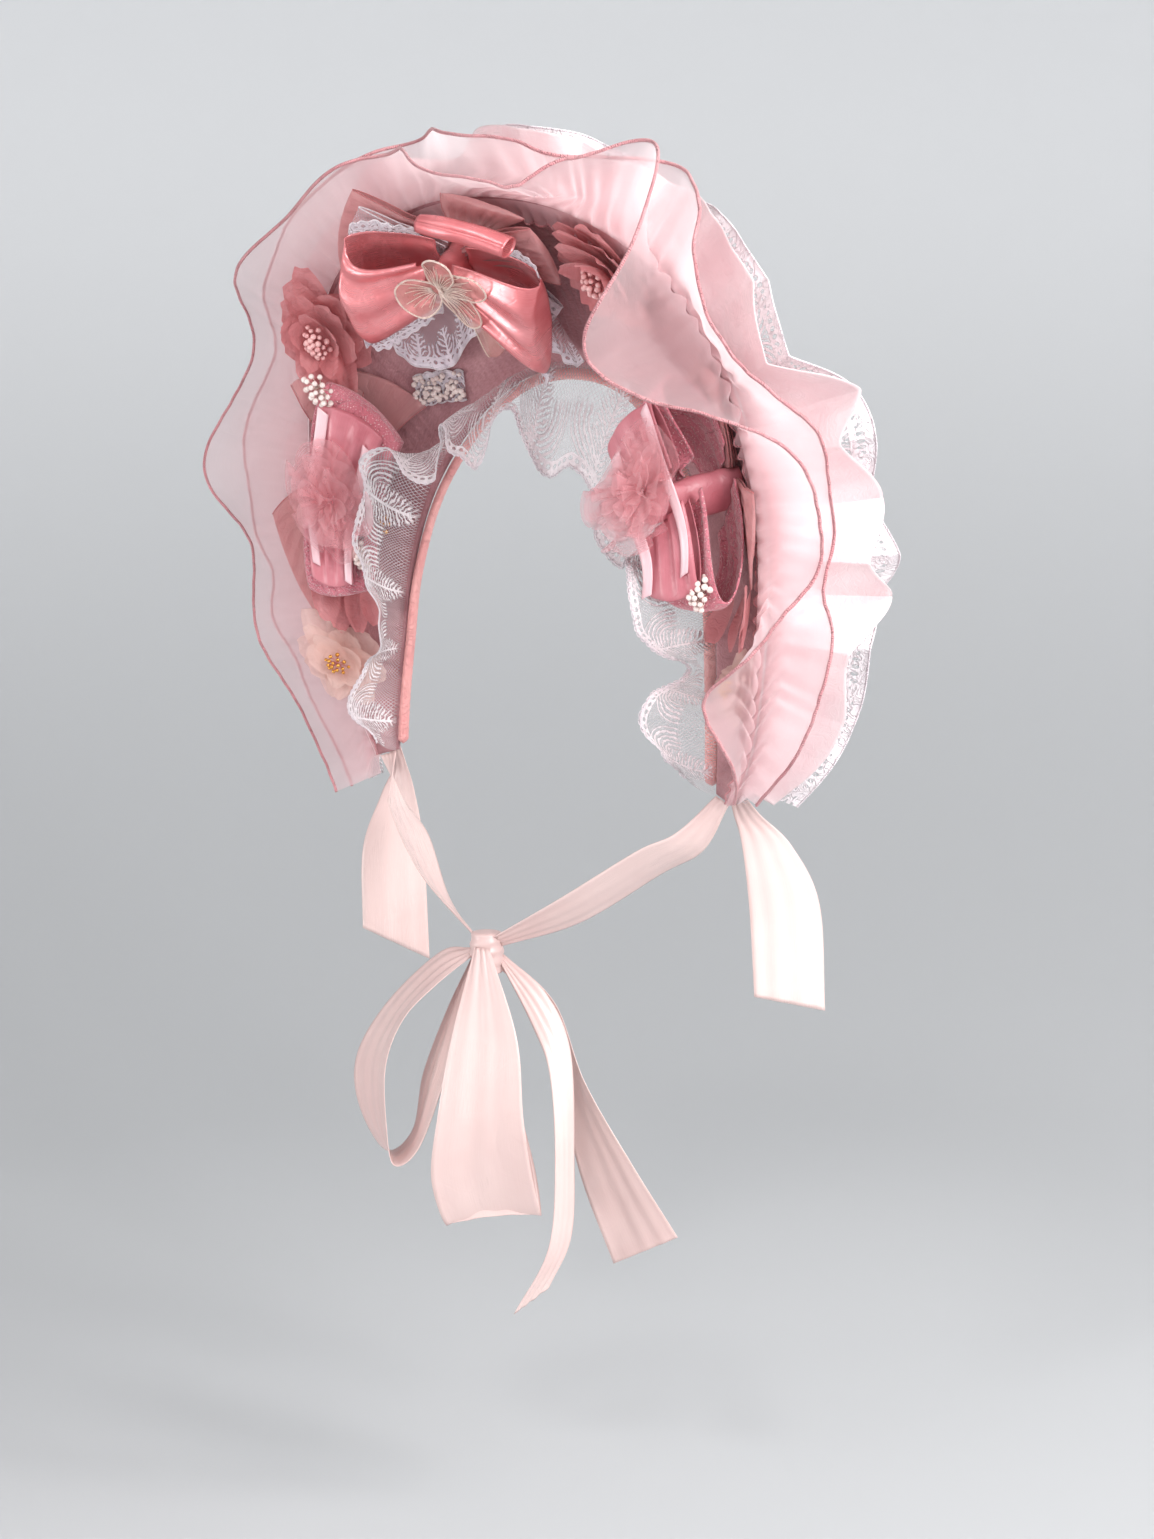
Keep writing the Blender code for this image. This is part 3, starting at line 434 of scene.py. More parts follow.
def pleats(x, spacing, seed, uneven=0.6):
    """Waves about this far apart along x: a sine whose phase and height wander slowly."""
    random = np.random.default_rng(seed)
    wander = sum(
        random.uniform(0.5, 1) * np.sin(TURN * x / (spacing * length) + random.uniform(0, TURN))
        for length in (2.7, 4.3, 7.9)
    )
    swell = 0.7 + 0.3 * np.sin(TURN * x / (spacing * 5.3) + random.uniform(0, TURN))
    return np.sin(TURN * x / spacing + uneven * wander) * swell


def gathers(s, v, fine, fine_size, broad, broad_size, seed):
    """Small pleats that start at the seam and fade out, and broad waves that grow towards the hem."""
    rise = np.clip(v / 0.08, 0, 1) * np.exp(-v / 0.45)
    small = fine_size * pleats(s, fine, seed)[:, None] * rise
    return small + broad_size * pleats(s, broad, seed + 1)[:, None] * v**1.5


def evenly(count):
    return np.linspace(0, 1, count)


def grid(nu, nv):
    """Two parameters from 0 to 1 on a grid of nu by nv points."""
    return np.meshgrid(evenly(nu), evenly(nv), indexing="ij")


def arcs_of(folds, count):
    """Arcs of a ruffle's lines, shared out evenly between the rows of its table."""
    return np.interp(evenly(count), np.arange(len(folds)) / (len(folds) - 1), folds[:, 0])


def run_of(line):
    """The length along a line of points from its first one."""
    return np.append(0, np.cumsum(np.linalg.norm(np.diff(line, axis=0), axis=-1)))


def edge_length(arc):
    """The length along the brim's outer edge from its first arc."""
    return run_of(on_brim(arc, 1.0, 0))


def meshed(points, uv, closed_u=False, closed_v=False):
    """A grid of points as (points, faces, a uv for each face corner). A closed way joins its last line
    to its first, and then uv has one line more."""
    nu, nv = points.shape[:2]
    i, j = np.meshgrid(np.arange(nu - 1 + closed_u), np.arange(nv - 1 + closed_v), indexing="ij")
    i, j = i.ravel(), j.ravel()
    corners = [(i, j), (i + 1, j), (i + 1, j + 1), (i, j + 1)]
    faces = np.stack([(a % nu) * nv + b % nv for a, b in corners], -1)
    return points.reshape(-1, 3), faces, np.stack([uv[a, b] for a, b in corners], 1)


def cloth_uv(points):
    """A uv in metres: along the hem, and in from the hem, which is the grid's last line."""
    s, t = run_of(points[:, -1]), run_of(points[len(points) // 2])
    return np.stack(np.meshgrid(s, t[-1] - t, indexing="ij"), -1)


def walled(points, thick=0):
    """A cloth wall, its thickness in mm: the sheet moved half of it to each side, joined round its four
    edges. Without thickness it is the sheet alone."""
    uv = cloth_uv(points)
    if not thick:
        return meshed(points, uv)
    aside = across_of(points) * (thick * MM) / 2
    ring = np.concatenate([points + aside, (points - aside)[:, ::-1]], 1)
    body, faces, corners = meshed(ring, np.concatenate([uv, uv[:, ::-1], uv[:, :1]], 1), closed_v=True)
    j, last = np.arange(points.shape[1] - 1), ring.shape[1]
    start = np.stack([j, j + 1, last - 2 - j, last - 1 - j], -1)
    end = start[:, ::-1] + (len(points) - 1) * last
    ends = [np.stack([uv[k, j], uv[k, j + 1], uv[k, j + 1], uv[k, j]], 1) for k in (0, -1)]
    return body, np.concatenate([faces, start, end]), np.concatenate([corners, *ends])


def ringed(points):
    """A grid whose first way goes right round: its last line is the first one again."""
    return meshed(points[:-1], cloth_uv(points), closed_u=True)


def tube(path, radius, sides=6, lean=(0.0, 0.0, 1.0)):
    """A cord along a path, its radius in mm: circles round the path, across its direction. The uv is the
    length and the way round, both in metres."""
    ahead = unit(np.gradient(path, axis=0))
    side = unit(np.cross(ahead, lean + 0 * ahead))
    up = np.cross(side, ahead)
    angle = np.arange(sides) * TURN / sides
    radius = np.broadcast_to(radius * MM, len(path))[:, None, None]
    ring = np.cos(angle)[None, :, None] * side[:, None] + np.sin(angle)[None, :, None] * up[:, None]
    uv = np.stack(np.meshgrid(run_of(path), np.arange(sides + 1) / sides, indexing="ij"), -1)
    uv[..., 1] *= TURN * radius.mean()
    body, faces, corners = meshed(path[:, None] + radius * ring, uv, closed_v=True)
    if sides == 4:
        caps = [np.arange(4)[::-1], (len(path) - 1) * 4 + np.arange(4)]
        faces, corners = np.concatenate([faces, caps]), np.concatenate([corners, np.zeros((2, 4, 2))])
    return body, faces, corners


def hem_cord(points, radius, sides=5):
    """A cord along a sheet's last line."""
    return [tube(points[:, -1], radius, sides, across_of(points)[:, -1])]


def edge_cords(points, radius):
    """A fine cord along both long edges of a ribbon."""
    normal = across_of(points)
    return [tube(points[:, k], radius, 5, normal[:, k]) for k in (0, -1)]


def ball():
    """A small round bead of radius 1: its points and its faces."""
    bm = bmesh.new()
    bmesh.ops.create_icosphere(bm, subdivisions=2, radius=1)
    bm.verts.index_update()
    points = np.array([v.co[:] for v in bm.verts])
    faces = np.array([[v.index for v in f.verts] for f in bm.faces])
    bm.free()
    return points, faces


BALL_POINTS, BALL_FACES = ball()


def beads(centres, radii):
    """Round beads at these places, their radii in mm."""
    points = BALL_POINTS[None] * (radii * MM)[:, None, None] + centres[:, None]
    starts = np.arange(len(centres))[:, None, None] * len(BALL_POINTS)
    faces = (BALL_FACES[None] + starts).reshape(-1, 3)
    return points.reshape(-1, 3), faces, np.zeros((len(faces), 3, 2))


SKINS = {}  # the cloths by name, filled by skin()


def piece(name, slot, parts, replaces=()):
    """One mesh that rides on the bonnet. parts holds, for each cloth, a list of (points, faces, uv)."""
    points, faces, uvs = zip(*(part for same in parts.values() for part in same))
    starts = np.cumsum([0] + [len(part) for part in points])
    kinds = [k for k, same in enumerate(parts.values()) for _ in same]
    mesh = bpy.data.meshes.new(name)
    every = [face for part, start in zip(faces, starts) for face in (part + start).tolist()]
    mesh.from_pydata(np.concatenate(points), [], every)
    flat_uv = np.concatenate([uv.reshape(-1, 2) for uv in uvs]).ravel()
    mesh.uv_layers.new(name="cloth").data.foreach_set("uv", flat_uv)
    mesh.polygons.foreach_set("material_index", np.repeat(kinds, [len(part) for part in faces]))
    mesh.shade_smooth()
    for cloth in parts:
        mesh.materials.append(SKINS[cloth])
    thing = bpy.data.objects.new(name, mesh)
    bpy.context.scene.collection.objects.link(thing)
    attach(thing, "root")
    if replaces:
        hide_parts(*replaces)
    return thing


def cut(thing, points, held, rests_on):
    """Measures a cloth's flat size: its mean width, and the length of its hem or, for a ribbon, of
    its middle line. The sizes are not kept or used."""
    line = points[:, -1] if held == "gathered" else points[:, points.shape[1] // 2]
    length = float(np.linalg.norm(np.diff(line, axis=0), axis=-1).sum())
    width = float(np.linalg.norm(np.diff(points, axis=1), axis=-1).sum(1).mean())
    list(rests_on)


def sewn(name, slot, cloth, points, thick, held, rests_on, replaces=(), **cords):
    """A piece of one cloth, made as a sheet, with the cords of other cloths on it."""
    cut(piece(name, slot, {cloth: [walled(points, thick)], **cords}, replaces), points, held, rests_on)


def colour(red, green, blue):
    """A colour as the eye reads it, 0 to 255, turned into the light that the shader takes."""
    seen = np.array([red, green, blue]) / 255
    return (*np.where(seen <= 0.04045, seen / 12.92, ((seen + 0.055) / 1.055) ** 2.4), 1)


def put(tree, inputs, values):
    """Sets a node's inputs. Each value is a constant or another node's socket."""
    for name, value in dict(values).items():
        value = value.socket if isinstance(value, Value) else value
        if isinstance(value, bpy.types.NodeSocket):
            tree.links.new(value, inputs[name])
        else:
            inputs[name].default_value = value


def node(tree, kind, inputs=(), **settings):
    """A shader node with its settings and its inputs."""
    made = tree.nodes.new("ShaderNode" + kind)
    for name, value in settings.items():
        setattr(made, name, value)
    put(tree, made.inputs, inputs)
    return made


class Value:
    """A number in a shader. Arithmetic on it adds a Math node to its tree."""

    def __init__(self, socket):
        self.socket = socket

    def do(self, operation, *others):
        made = node(self.socket.id_data, "Math", enumerate((self, *others)), operation=operation)
        return Value(made.outputs[0])

    __add__ = partialmethod(do, "ADD")
    __sub__ = partialmethod(do, "SUBTRACT")
    __mul__ = partialmethod(do, "MULTIPLY")
    __truediv__ = partialmethod(do, "DIVIDE")
    __pow__ = partialmethod(do, "POWER")
    fraction = partialmethod(do, "FRACT")
    size = partialmethod(do, "ABSOLUTE")
    root = partialmethod(do, "SQRT")
    lesser = partialmethod(do, "MINIMUM")
    greater = partialmethod(do, "MAXIMUM")

    def step(self, low, high, to_low=0.0, to_high=1.0):
        """A smooth step from one value to another as this one goes from low to high."""
        inputs = {"Value": self, "From Min": low, "From Max": high, "To Min": to_low, "To Max": to_high}
        made = node(self.socket.id_data, "MapRange", inputs, interpolation_type="SMOOTHSTEP")
        return Value(made.outputs["Result"])


def blend(tree, share, one, other):
    """One colour turning into another."""
    return node(tree, "Mix", {0: share, 6: one, 7: other}, data_type="RGBA").outputs[2]


def effect(build, outputs, inputs):
    """A shared node group. build(tree, sockets) returns its outputs in order."""
    tree = bpy.data.node_groups.new(build.__name__, "ShaderNodeTree")
    for label, value in inputs.items():
        kind = "NodeSocketVector" if isinstance(value, tuple) else "NodeSocketFloat"
        tree.interface.new_socket(label, in_out="INPUT", socket_type=kind).default_value = value
    for label in outputs:
        tree.interface.new_socket(label, in_out="OUTPUT", socket_type="NodeSocketFloat")
    entry, way_out = tree.nodes.new("NodeGroupInput"), tree.nodes.new("NodeGroupOutput")
    put(tree, way_out.inputs, enumerate(build(tree, entry.outputs)))
    return tree


def use(tree, group, inputs):
    """Places a shared effect in a material, and gives its outputs by name."""
    return {made.name: Value(made) for made in node(tree, "Group", inputs, node_tree=group).outputs}


def threads(tree, sockets):
    """Long fine streaks, as the threads of a weave give, and their own small relief."""
    scale = node(tree, "VectorMath", {0: sockets["Cloth"], 1: sockets["Per Metre"]}, operation="MULTIPLY")
    fine = node(tree, "TexNoise", {"Vector": scale.outputs[0], "Scale": 1, "Detail": 4, "Roughness": 0.6})
    streak = Value(fine.outputs["Fac"])
    return streak, streak.step(0.25, 0.75)


def wear(tree, sockets):
    """Slow patches and soft creases of cloth that has been handled."""
    place, scale = sockets["Place"], Value(sockets["Per Metre"])
    slow = node(tree, "TexNoise", {"Vector": place, "Scale": scale, "Detail": 3})
    bending = {0: place, 1: slow.outputs["Color"], 2: (0.02, 0.02, 0.02)}
    bent = node(tree, "VectorMath", bending, operation="MULTIPLY_ADD").outputs[0]
    crease = node(tree, "TexNoise", {"Vector": bent, "Scale": scale * 2.5, "Detail": 2})
    ridge = (Value(crease.outputs["Fac"]) - 0.5).size()
    return Value(slow.outputs["Fac"]).step(0.3, 0.7), ridge.step(0.0, 0.12)


def glitter(tree, sockets):
    """Separate bright grains: the cells of a fine Voronoi pattern whose own random number is high."""
    cells = node(tree, "TexVoronoi", {"Vector": sockets["Place"], "Scale": sockets["Per Metre"]}).outputs
    chance = Value(node(tree, "SeparateColor", {"Color": cells["Color"]}).outputs[0])
    return [Value(cells["Distance"]).step(0.42, 0.30) * chance.step(sockets["Bare"], 1.0)]


def lace_work(tree, sockets):
    """Lace as a mask of its threads. Across the cloth's uv, with y in from the hem, it is the greatest of a
    diamond net, nested arcs round each scallop's middle, a fern inside the arcs and a row of ringed holes
    in a dense hem. All sizes are in metres."""
    arc_spacing, leaf_spacing, line, net_line, net_share = 0.003, 0.0036, 0.24, 0.11, 0.55
    hole_spacing, hole_edge, hole_rim, hem_edge, hem_end = 0.0042, 0.0011, 0.0014, 0.0070, 0.0078
    x, y = (Value(axis) for axis in node(tree, "SeparateXYZ", {"Vector": sockets["Cloth"]}).outputs[:2])
    scallop, middle, pitch = (Value(sockets[label]) for label in ("Scallop", "Middle", "Net"))
    noise = node(tree, "TexNoise", {"Vector": sockets["Cloth"], "Scale": 260, "Detail": 2})
    shake = (Value(noise.outputs["Fac"]) - 0.5) * 0.006
    across = ((x / scallop).fraction() - 0.5) * scallop
    up = y - middle
    reach = ((across * 1.15) ** 2 + up.lesser(0.0) ** 2).root()

    def lines(value, spacing, half):
        """Lines at this spacing, each this share of the spacing wide to either side."""
        return ((value / spacing).fraction() - 0.5).size().step(half * 1.5, half * 0.6)

    arcs_from = middle * 0.44
    arcs = lines(reach + shake * 0.35, arc_spacing, line) * reach.step(arcs_from, arcs_from + 0.001)
    arcs = arcs * reach.step(middle * 0.98, middle * 0.94)
    arcs = arcs * (up + shake).step(middle * 0.32, middle * 0.12)
    leaves = lines(up + across.size() * -0.75 + shake, leaf_spacing, line)
    oval = (across**2 + (up * 0.42) ** 2).root() + shake
    fern = leaves.greater(across.size().step(0.0012, 0.0006)) * oval.step(arcs_from, arcs_from * 0.8)
    net = lines(x + y * 0.6, pitch, net_line).greater(lines(x - y * 0.6, pitch, net_line))
    along_hole = ((x / hole_spacing).fraction() - 0.5) * hole_spacing
    from_hole = (along_hole**2 + (y - hole_spacing) ** 2).root()
    work = arcs.greater(fern).greater(y.step(hem_end, hem_edge) * from_hole.step(hole_edge, hole_rim))
    return work.greater(net * net_share), work


THREADS = effect(threads, ["Streak", "Relief"], {"Cloth": (0, 0, 0), "Per Metre": (60, 2500, 1)})
WEAR = effect(wear, ["Patches", "Creases"], {"Place": (0, 0, 0), "Per Metre": 40.0})
GLITTER = effect(glitter, ["Grain"], {"Place": (0, 0, 0), "Per Metre": 1600.0, "Bare": 0.6})
LACE_SIZES = {"Cloth": (0, 0, 0), "Scallop": 0.05, "Middle": 0.034, "Net": 0.0018}
LACE_WORK = effect(lace_work, ["Threads", "Work"], LACE_SIZES)


def skin(name, dark, light, rough, shine=(), along=60, across=2500, patches=40, streaks=0.5, alpha=1.0,
         relief=0.0004, crease=0.0006, through=0.0, lit=None, finish=None):
    """A woven cloth. Its colour runs between two, by its threads and by slow patches; threads and creases
    give relief. through is the share of light that comes through the cloth, in the colour lit."""
    material = SKINS[name] = bpy.data.materials.new(name)
    material.use_nodes = True
    tree = material.node_tree
    shader = tree.nodes["Principled BSDF"]
    cloth = node(tree, "UVMap", uv_map="cloth").outputs["UV"]
    place = node(tree, "TexCoord").outputs["Object"]
    weave = use(tree, THREADS, {"Cloth": cloth, "Per Metre": (along, across, 1)})
    worn = use(tree, WEAR, {"Place": place, "Per Metre": patches})
    share = weave["Relief"] * streaks + worn["Patches"] * (1 - streaks)
    look = {
        "cloth": cloth,
        "place": place,
        "Base Color": blend(tree, share, colour(*dark), colour(*light)),
        "Roughness": share.step(0, 1, rough + 0.06, rough - 0.06),
        "Height": weave["Streak"] * relief + worn["Creases"] * crease,
        "Alpha": alpha,
    }
    if finish:
        finish(tree, look)
    bump = node(tree, "Bump", {"Height": look["Height"], "Strength": 1.0, "Distance": 1.0})
    found = {label: look[label] for label in ("Base Color", "Roughness", "Alpha")}
    put(tree, shader.inputs, {**found, "Normal": bump.outputs["Normal"], **dict(shine)})
    if through:
        glow = node(tree, "BsdfTranslucent", {"Color": colour(*(lit or light))})
        mixed = node(tree, "MixShader", {0: through, 1: shader.outputs[0], 2: glow.outputs[0]})
        tree.links.new(mixed.outputs[0], tree.nodes["Material Output"].inputs["Surface"])


def sparkling(tree, look):
    """Velvet with fine glitter: separate grains that are paler, smooth and slightly raised."""
    grain = use(tree, GLITTER, {"Place": look["place"], "Per Metre": 1100.0, "Bare": 0.55})["Grain"]
    look["Base Color"] = blend(tree, grain, look["Base Color"], colour(252, 214, 214))
    look["Roughness"] -= grain * 0.55
    look["Height"] += grain * 0.0004


def corded(tree, look):
    """A cord that is whipped with thread: close turns round it, 900 in a metre."""
    along = Value(node(tree, "SeparateXYZ", {"Vector": look["cloth"]}).outputs[0])
    look["Height"] += ((along * 900.0).fraction() - 0.5).size() * 0.0006


def laced(scallop, middle, net):
    """Lace of these sizes in metres: the length of a scallop, its motif's middle over the hem, the net."""

    def finish(tree, look):
        sizes = {"Cloth": look["cloth"], "Scallop": scallop, "Middle": middle, "Net": net}
        work = use(tree, LACE_WORK, sizes)
        look["Height"] += work["Work"] * 0.0005
        look["Alpha"] = work["Threads"]

    return finish


GLOSSY = {"Metallic": 0.38, "Specular IOR Level": 0.9, "Coat Weight": 0.15, "Coat Roughness": 0.3}
SATIN = {"Specular IOR Level": 0.75, "Sheen Weight": 0.1, "Sheen Roughness": 0.35}
DULL = {"Specular IOR Level": 0.3, "Sheen Weight": 0.3, "Sheen Roughness": 0.5}
SHEER = {"Specular IOR Level": 0.4, "Sheen Weight": 0.15, "Sheen Roughness": 0.4}
PILE = {"Sheen Weight": 0.5, "Sheen Roughness": 0.4}
POLISHED = {"Coat Weight": 0.6, "Coat Roughness": 0.1}
THIN = {"relief": 0.0002, "crease": 0.0003}
SMOOTH = {"relief": 0.00003, "crease": 0.00005}
BARE = {"patches": 300, "relief": 0, "crease": 0}

skin("brim_cloth", (158, 104, 110), (198, 148, 152), 0.62, DULL, along=500, across=900, crease=0.0002)
skin("band_satin", (220, 138, 138), (240, 178, 172), 0.42, SATIN, crease=0.0004)
skin("organza", (238, 186, 189), (251, 216, 218), 0.42, SHEER, alpha=0.29, through=0.42,
     lit=(255, 240, 242), patches=25, **THIN)
skin("header_organza", (242, 200, 205), (252, 226, 228), 0.42, SHEER, alpha=0.62, through=0.4,
     lit=(255, 232, 234), patches=25, **THIN)
skin("organza_cord", (190, 120, 126), (224, 164, 168), 0.5, DULL, finish=corded)
skin("ribbon_satin", (244, 214, 217), (253, 238, 239), 0.3, SATIN, streaks=0.3, through=0.18,
     relief=0.00005, crease=0.0001)
skin("pale_satin", (226, 194, 190), (241, 216, 211), 0.32, SATIN, streaks=0.25, patches=12, through=0.12,
     relief=0.00004, crease=0.00006)
skin("rose_satin", (220, 110, 115), (244, 158, 161), 0.3, GLOSSY, streaks=0.3, through=0.05,
     lit=(240, 106, 108), **SMOOTH)
skin("side_satin", (196, 104, 116), (222, 142, 152), 0.36, SATIN, streaks=0.3, through=0.10,
     relief=0.00003, crease=0.00008)
skin("narrow_satin", (228, 178, 186), (246, 214, 218), 0.34, SATIN, relief=0.00003, crease=0.00003)
skin("chiffon", (220, 158, 160), (244, 202, 202), 0.5, DULL, alpha=0.6, through=0.3,
     lit=(246, 194, 194), **THIN)
skin("chiffon_hem", (186, 100, 104), (216, 140, 140), 0.5, DULL, finish=corded)
skin("petal_cloth", (204, 118, 122), (236, 170, 172), 0.55, DULL, alpha=0.86, through=0.3,
     lit=(238, 154, 156), **THIN)
skin("cream_cloth", (240, 200, 192), (250, 224, 216), 0.55, DULL, alpha=0.64, through=0.35, **THIN)
skin("velvet", (192, 98, 112), (222, 140, 152), 0.8, PILE, along=900, across=900, finish=sparkling)
skin("tulle", (236, 166, 174), (250, 204, 208), 0.6, DULL, alpha=0.26, through=0.12,
     lit=(244, 186, 190), relief=0.0002)
skin("face_lace", (226, 214, 218), (252, 246, 248), 0.6, DULL, finish=laced(0.052, 0.030, 0.0019))
skin("back_lace", (240, 230, 234), (254, 250, 252), 0.6, DULL, finish=laced(0.030, 0.020, 0.0030))
skin("loop_lace", (220, 206, 216), (248, 240, 246), 0.6, DULL, finish=laced(0.018, 0.013, 0.0016))
skin("lace_cord", (226, 212, 218), (250, 242, 246), 0.6, DULL, finish=corded)
skin("stamen", (220, 150, 152), (244, 200, 196), 0.3, {"Coat Weight": 0.4}, **BARE)
skin("pearl", (228, 204, 198), (252, 240, 234), 0.22, POLISHED, **BARE)
skin("gilt", (206, 140, 60), (238, 186, 100), 0.25, {"Metallic": 0.9}, **BARE)
skin("wing_cloth", (232, 156, 150), (250, 200, 190), 0.4, SHEER, alpha=0.42)
skin("wing_thread", (240, 204, 190), (253, 238, 226), 0.4, SATIN, finish=corded)


def loop(place, far, base, puff, neck, start=8.6, crown=0.0, fold=1.2, folds=4, lean=0.0, bulge=2.0,
         fade=0.85, seed=0, nu=73, nv=33):
    """A ribbon loop, sizes in mm: it leaves the knot low, turns back at its far edge and comes home higher.
    u runs along it and v across it: near + (far - near) sin(pi u)^0.7. Its middle is crowned, folds run out
    from the knot and fade, and its upper half leans towards one side."""
    one, other = np.array(far[:2], float), np.array(far[2:], float)
    way = unit((one + other) / 2)
    side = np.array([-way[1], way[0]])
    u, v = grid(nu, nv)
    u = u - 0.8 * np.sin(TURN * u) / TURN
    swell = np.sin(math.pi * u)
    arch = 1 - (2 * v - 1) ** 2
    near = start * way + ((v - 0.5) * neck)[..., None] * side
    rounded = (bulge * arch - 0.5 * bulge)[..., None] * way
    flat = near + (one + v[..., None] * (other - one) + rounded - near) * (swell**0.7)[..., None]
    half = np.clip(2 * u - 1, 0, 1)
    flat = flat - (lean * np.sin(math.pi * half) ** 0.6)[..., None] * side
    upper = np.where(u > 0.5, 1, -0.3)
    height = base + puff * ((1 - np.cos(math.pi * u)) / 2 - 0.35 * u**4) + crown * arch * swell * upper
    height = height + fold * pleats(v[0], 1 / folds, seed) * (1 - fade * swell**2) * upper
    return place(flat[..., 0], flat[..., 1], height)


def edging(name, points, line, first, last, solid, seed, width):
    """Narrow gathered lace along one long edge of a satin loop, from one share of its length to another: it
    goes on in the ribbon's own way, by its width in mm, in small gathers."""
    rows = slice(int(first * (len(points) - 1)), int(last * (len(points) - 1)) + 1)
    sewn_on, inner = points[rows, line], points[rows, 1 if line == 0 else -2]
    t = evenly(4 * len(sewn_on) - 3)
    sewn_on, inner = (resampled(t, evenly(len(q)), q) for q in (sewn_on, inner))
    out = unit(sewn_on - inner)
    normal = unit(np.cross(np.gradient(sewn_on, axis=0), out))
    v = evenly(7)
    ripple = 0.9 * MM * pleats(run_of(sewn_on), 0.007, seed)[:, None] * v
    ends = np.clip(np.minimum(t, 1 - t) / 0.04, 0.3, 1)[:, None]
    flat = sewn_on[:, None] + (width * MM * ends * v)[..., None] * out[:, None]
    lace = flat + ripple[..., None] * normal[:, None]
    sewn(name, "white_lace", "loop_lace", lace, 0, "gathered", [solid], lace_cord=hem_cord(lace, 0.4))


def knot_wrap(name, slot, cloth, place, radius, low, high, seed, solid):
    """A knot wrapped in cloth: a barrel whose radius waves in folds round it, closed at its ends."""
    u, v = grid(49, 25)
    waist = 1 + 0.16 * np.cos(math.pi * (v - 0.5)) + 0.06 * pleats(v[0] * 10 + u * 3, 2.6, seed)
    waist = waist * np.clip(np.minimum(v, 1 - v) / 0.08, 0, 1) ** 0.5
    x, y = radius * waist * np.cos(TURN * u), radius * waist * np.sin(TURN * u)
    points = place(x, y, low + (high - low) * np.clip((v - 0.06) / 0.88, 0, 1))
    piece(name, slot, {cloth: [ringed(points)]}, [solid])


def petal(place, x, y, angle, length, width, base, rise, cup, seed):
    """One petal, sizes in mm: as wide as width times a bulging sine of its length, its sides turned up by
    the cup, its tip raised, with a small wave in its edge."""
    across, along = grid(9, 9)
    across = 2 * across - 1
    half = width / 2 * np.sin(math.pi * np.clip(along * 0.86 + 0.06, 0, 1)) ** 0.7
    random = np.random.default_rng(seed)
    wave = 0.9 * np.sin(across * random.uniform(2, 5) + random.uniform(0, 6)) * along
    height = base + rise * along**1.6 + cup * across**2 * np.sin(math.pi * along) + wave
    c, w = math.cos(angle), math.sin(angle)
    px = x + length * along * c - across * half * w
    py = y + length * along * w + across * half * c
    return walled(place(px, py, height))


def rose(place, radius, base, top, seed, rings):
    """A cloth flower: rings of petals, each ring shorter, higher and more upright than the one under it."""
    random = np.random.default_rng(seed)
    found = []
    for count, share, lift, tilt in rings:
        start = random.uniform(0, TURN)
        for k in range(count):
            angle = start + TURN * (k + random.uniform(-0.15, 0.15)) / count
            length = radius * share * random.uniform(0.9, 1.05)
            width = 1.15 * TURN * length * 0.62 / count * random.uniform(0.9, 1.2)
            low, cup = base + (top - base) * lift + 0.5 * (k % 2), 1.2 + 2 * tilt
            sown = random.integers(999)
            found.append(petal(place, 0, 0, angle, length, width, low, tilt * length, cup, sown))
    return found


def cluster(place, x, y, height, spread, count, radius, seed):
    """Beads in a sunflower spiral on a low dome, sizes in mm, and the threads that hold them."""
    random = np.random.default_rng(seed)
    k = np.arange(count)
    angle, out = k * GOLDEN_ANGLE, spread * np.sqrt((k + 0.5) / count)
    px, py = x + out * np.cos(angle), y + out * np.sin(angle)
    up = height + 0.8 * spread * (1 - (out / spread) ** 2) + random.uniform(-0.6, 0.6, count)
    heads = place(px, py, up)
    feet = place(x + 0.25 * (px - x), y + 0.25 * (py - y), np.full(count, height - 1.5))
    stems = [tube(np.linspace(foot, head, 3), FINE_CORD, 4) for head, foot in zip(heads, feet)]
    return [beads(heads, radius * random.uniform(0.85, 1.15, count))], stems


def strip(rows, place, nu, nv, crown=0.0, fold=0.0, seed=0):
    """A ribbon through rows of its two edges, six numbers a row. Its middle bows out by the crown, and
    long creases run down it."""
    numbered = np.column_stack([evenly(len(rows)), rows])
    u, v = evenly(nu), evenly(nv)
    one, other = triple(u, numbered, 1), triple(u, numbered, 4)
    points = one[:, None] + v[:, None] * (other - one)[:, None]
    normal = unit(np.cross(*np.gradient(points, axis=(0, 1))))
    ends = np.sin(math.pi * u)[:, None] ** 0.5
    width = np.linalg.norm(other - one, axis=-1)[:, None]
    bow = crown * width * (1 - (2 * v - 1) ** 2) * ends
    wave = fold * pleats(v * 30, 9, seed) * (0.4 + 0.6 * np.cos(math.pi * u)[:, None] ** 2)
    return place(points + (bow + wave)[..., None] * normal) * MM


def make_brim():
    """The cloth of the brim: its two faces, the front one in fine pleats, closed at both ends."""
    u, v = evenly(361), evenly(31)
    arc, depth = (2 * u - 1)[:, None], (BRIM_START + (1 - BRIM_START) * v)[None]
    pleat = 0.8 * MM * pleats(edge_length(arc[:, 0])[:, None], 0.007, 3) * np.sin(math.pi * v) ** 0.5
    front, back = on_brim(arc, depth, pleat), on_brim(arc, depth, -BRIM_WALL + 0 * pleat)
    ring = np.concatenate([front, back[:, ::-1]], 1)
    first, last = (rim.mean(1, keepdims=True) + 0 * rim for rim in (ring[:1], ring[-1:]))
    ring = np.concatenate([first, ring, last])
    uv = cloth_uv(ring)
    body = meshed(ring, np.concatenate([uv, uv[:, :1]], 1), closed_v=True)
    piece("brim_cloth", "brim_cloth", {"brim_cloth": [body]}, ["brim"])


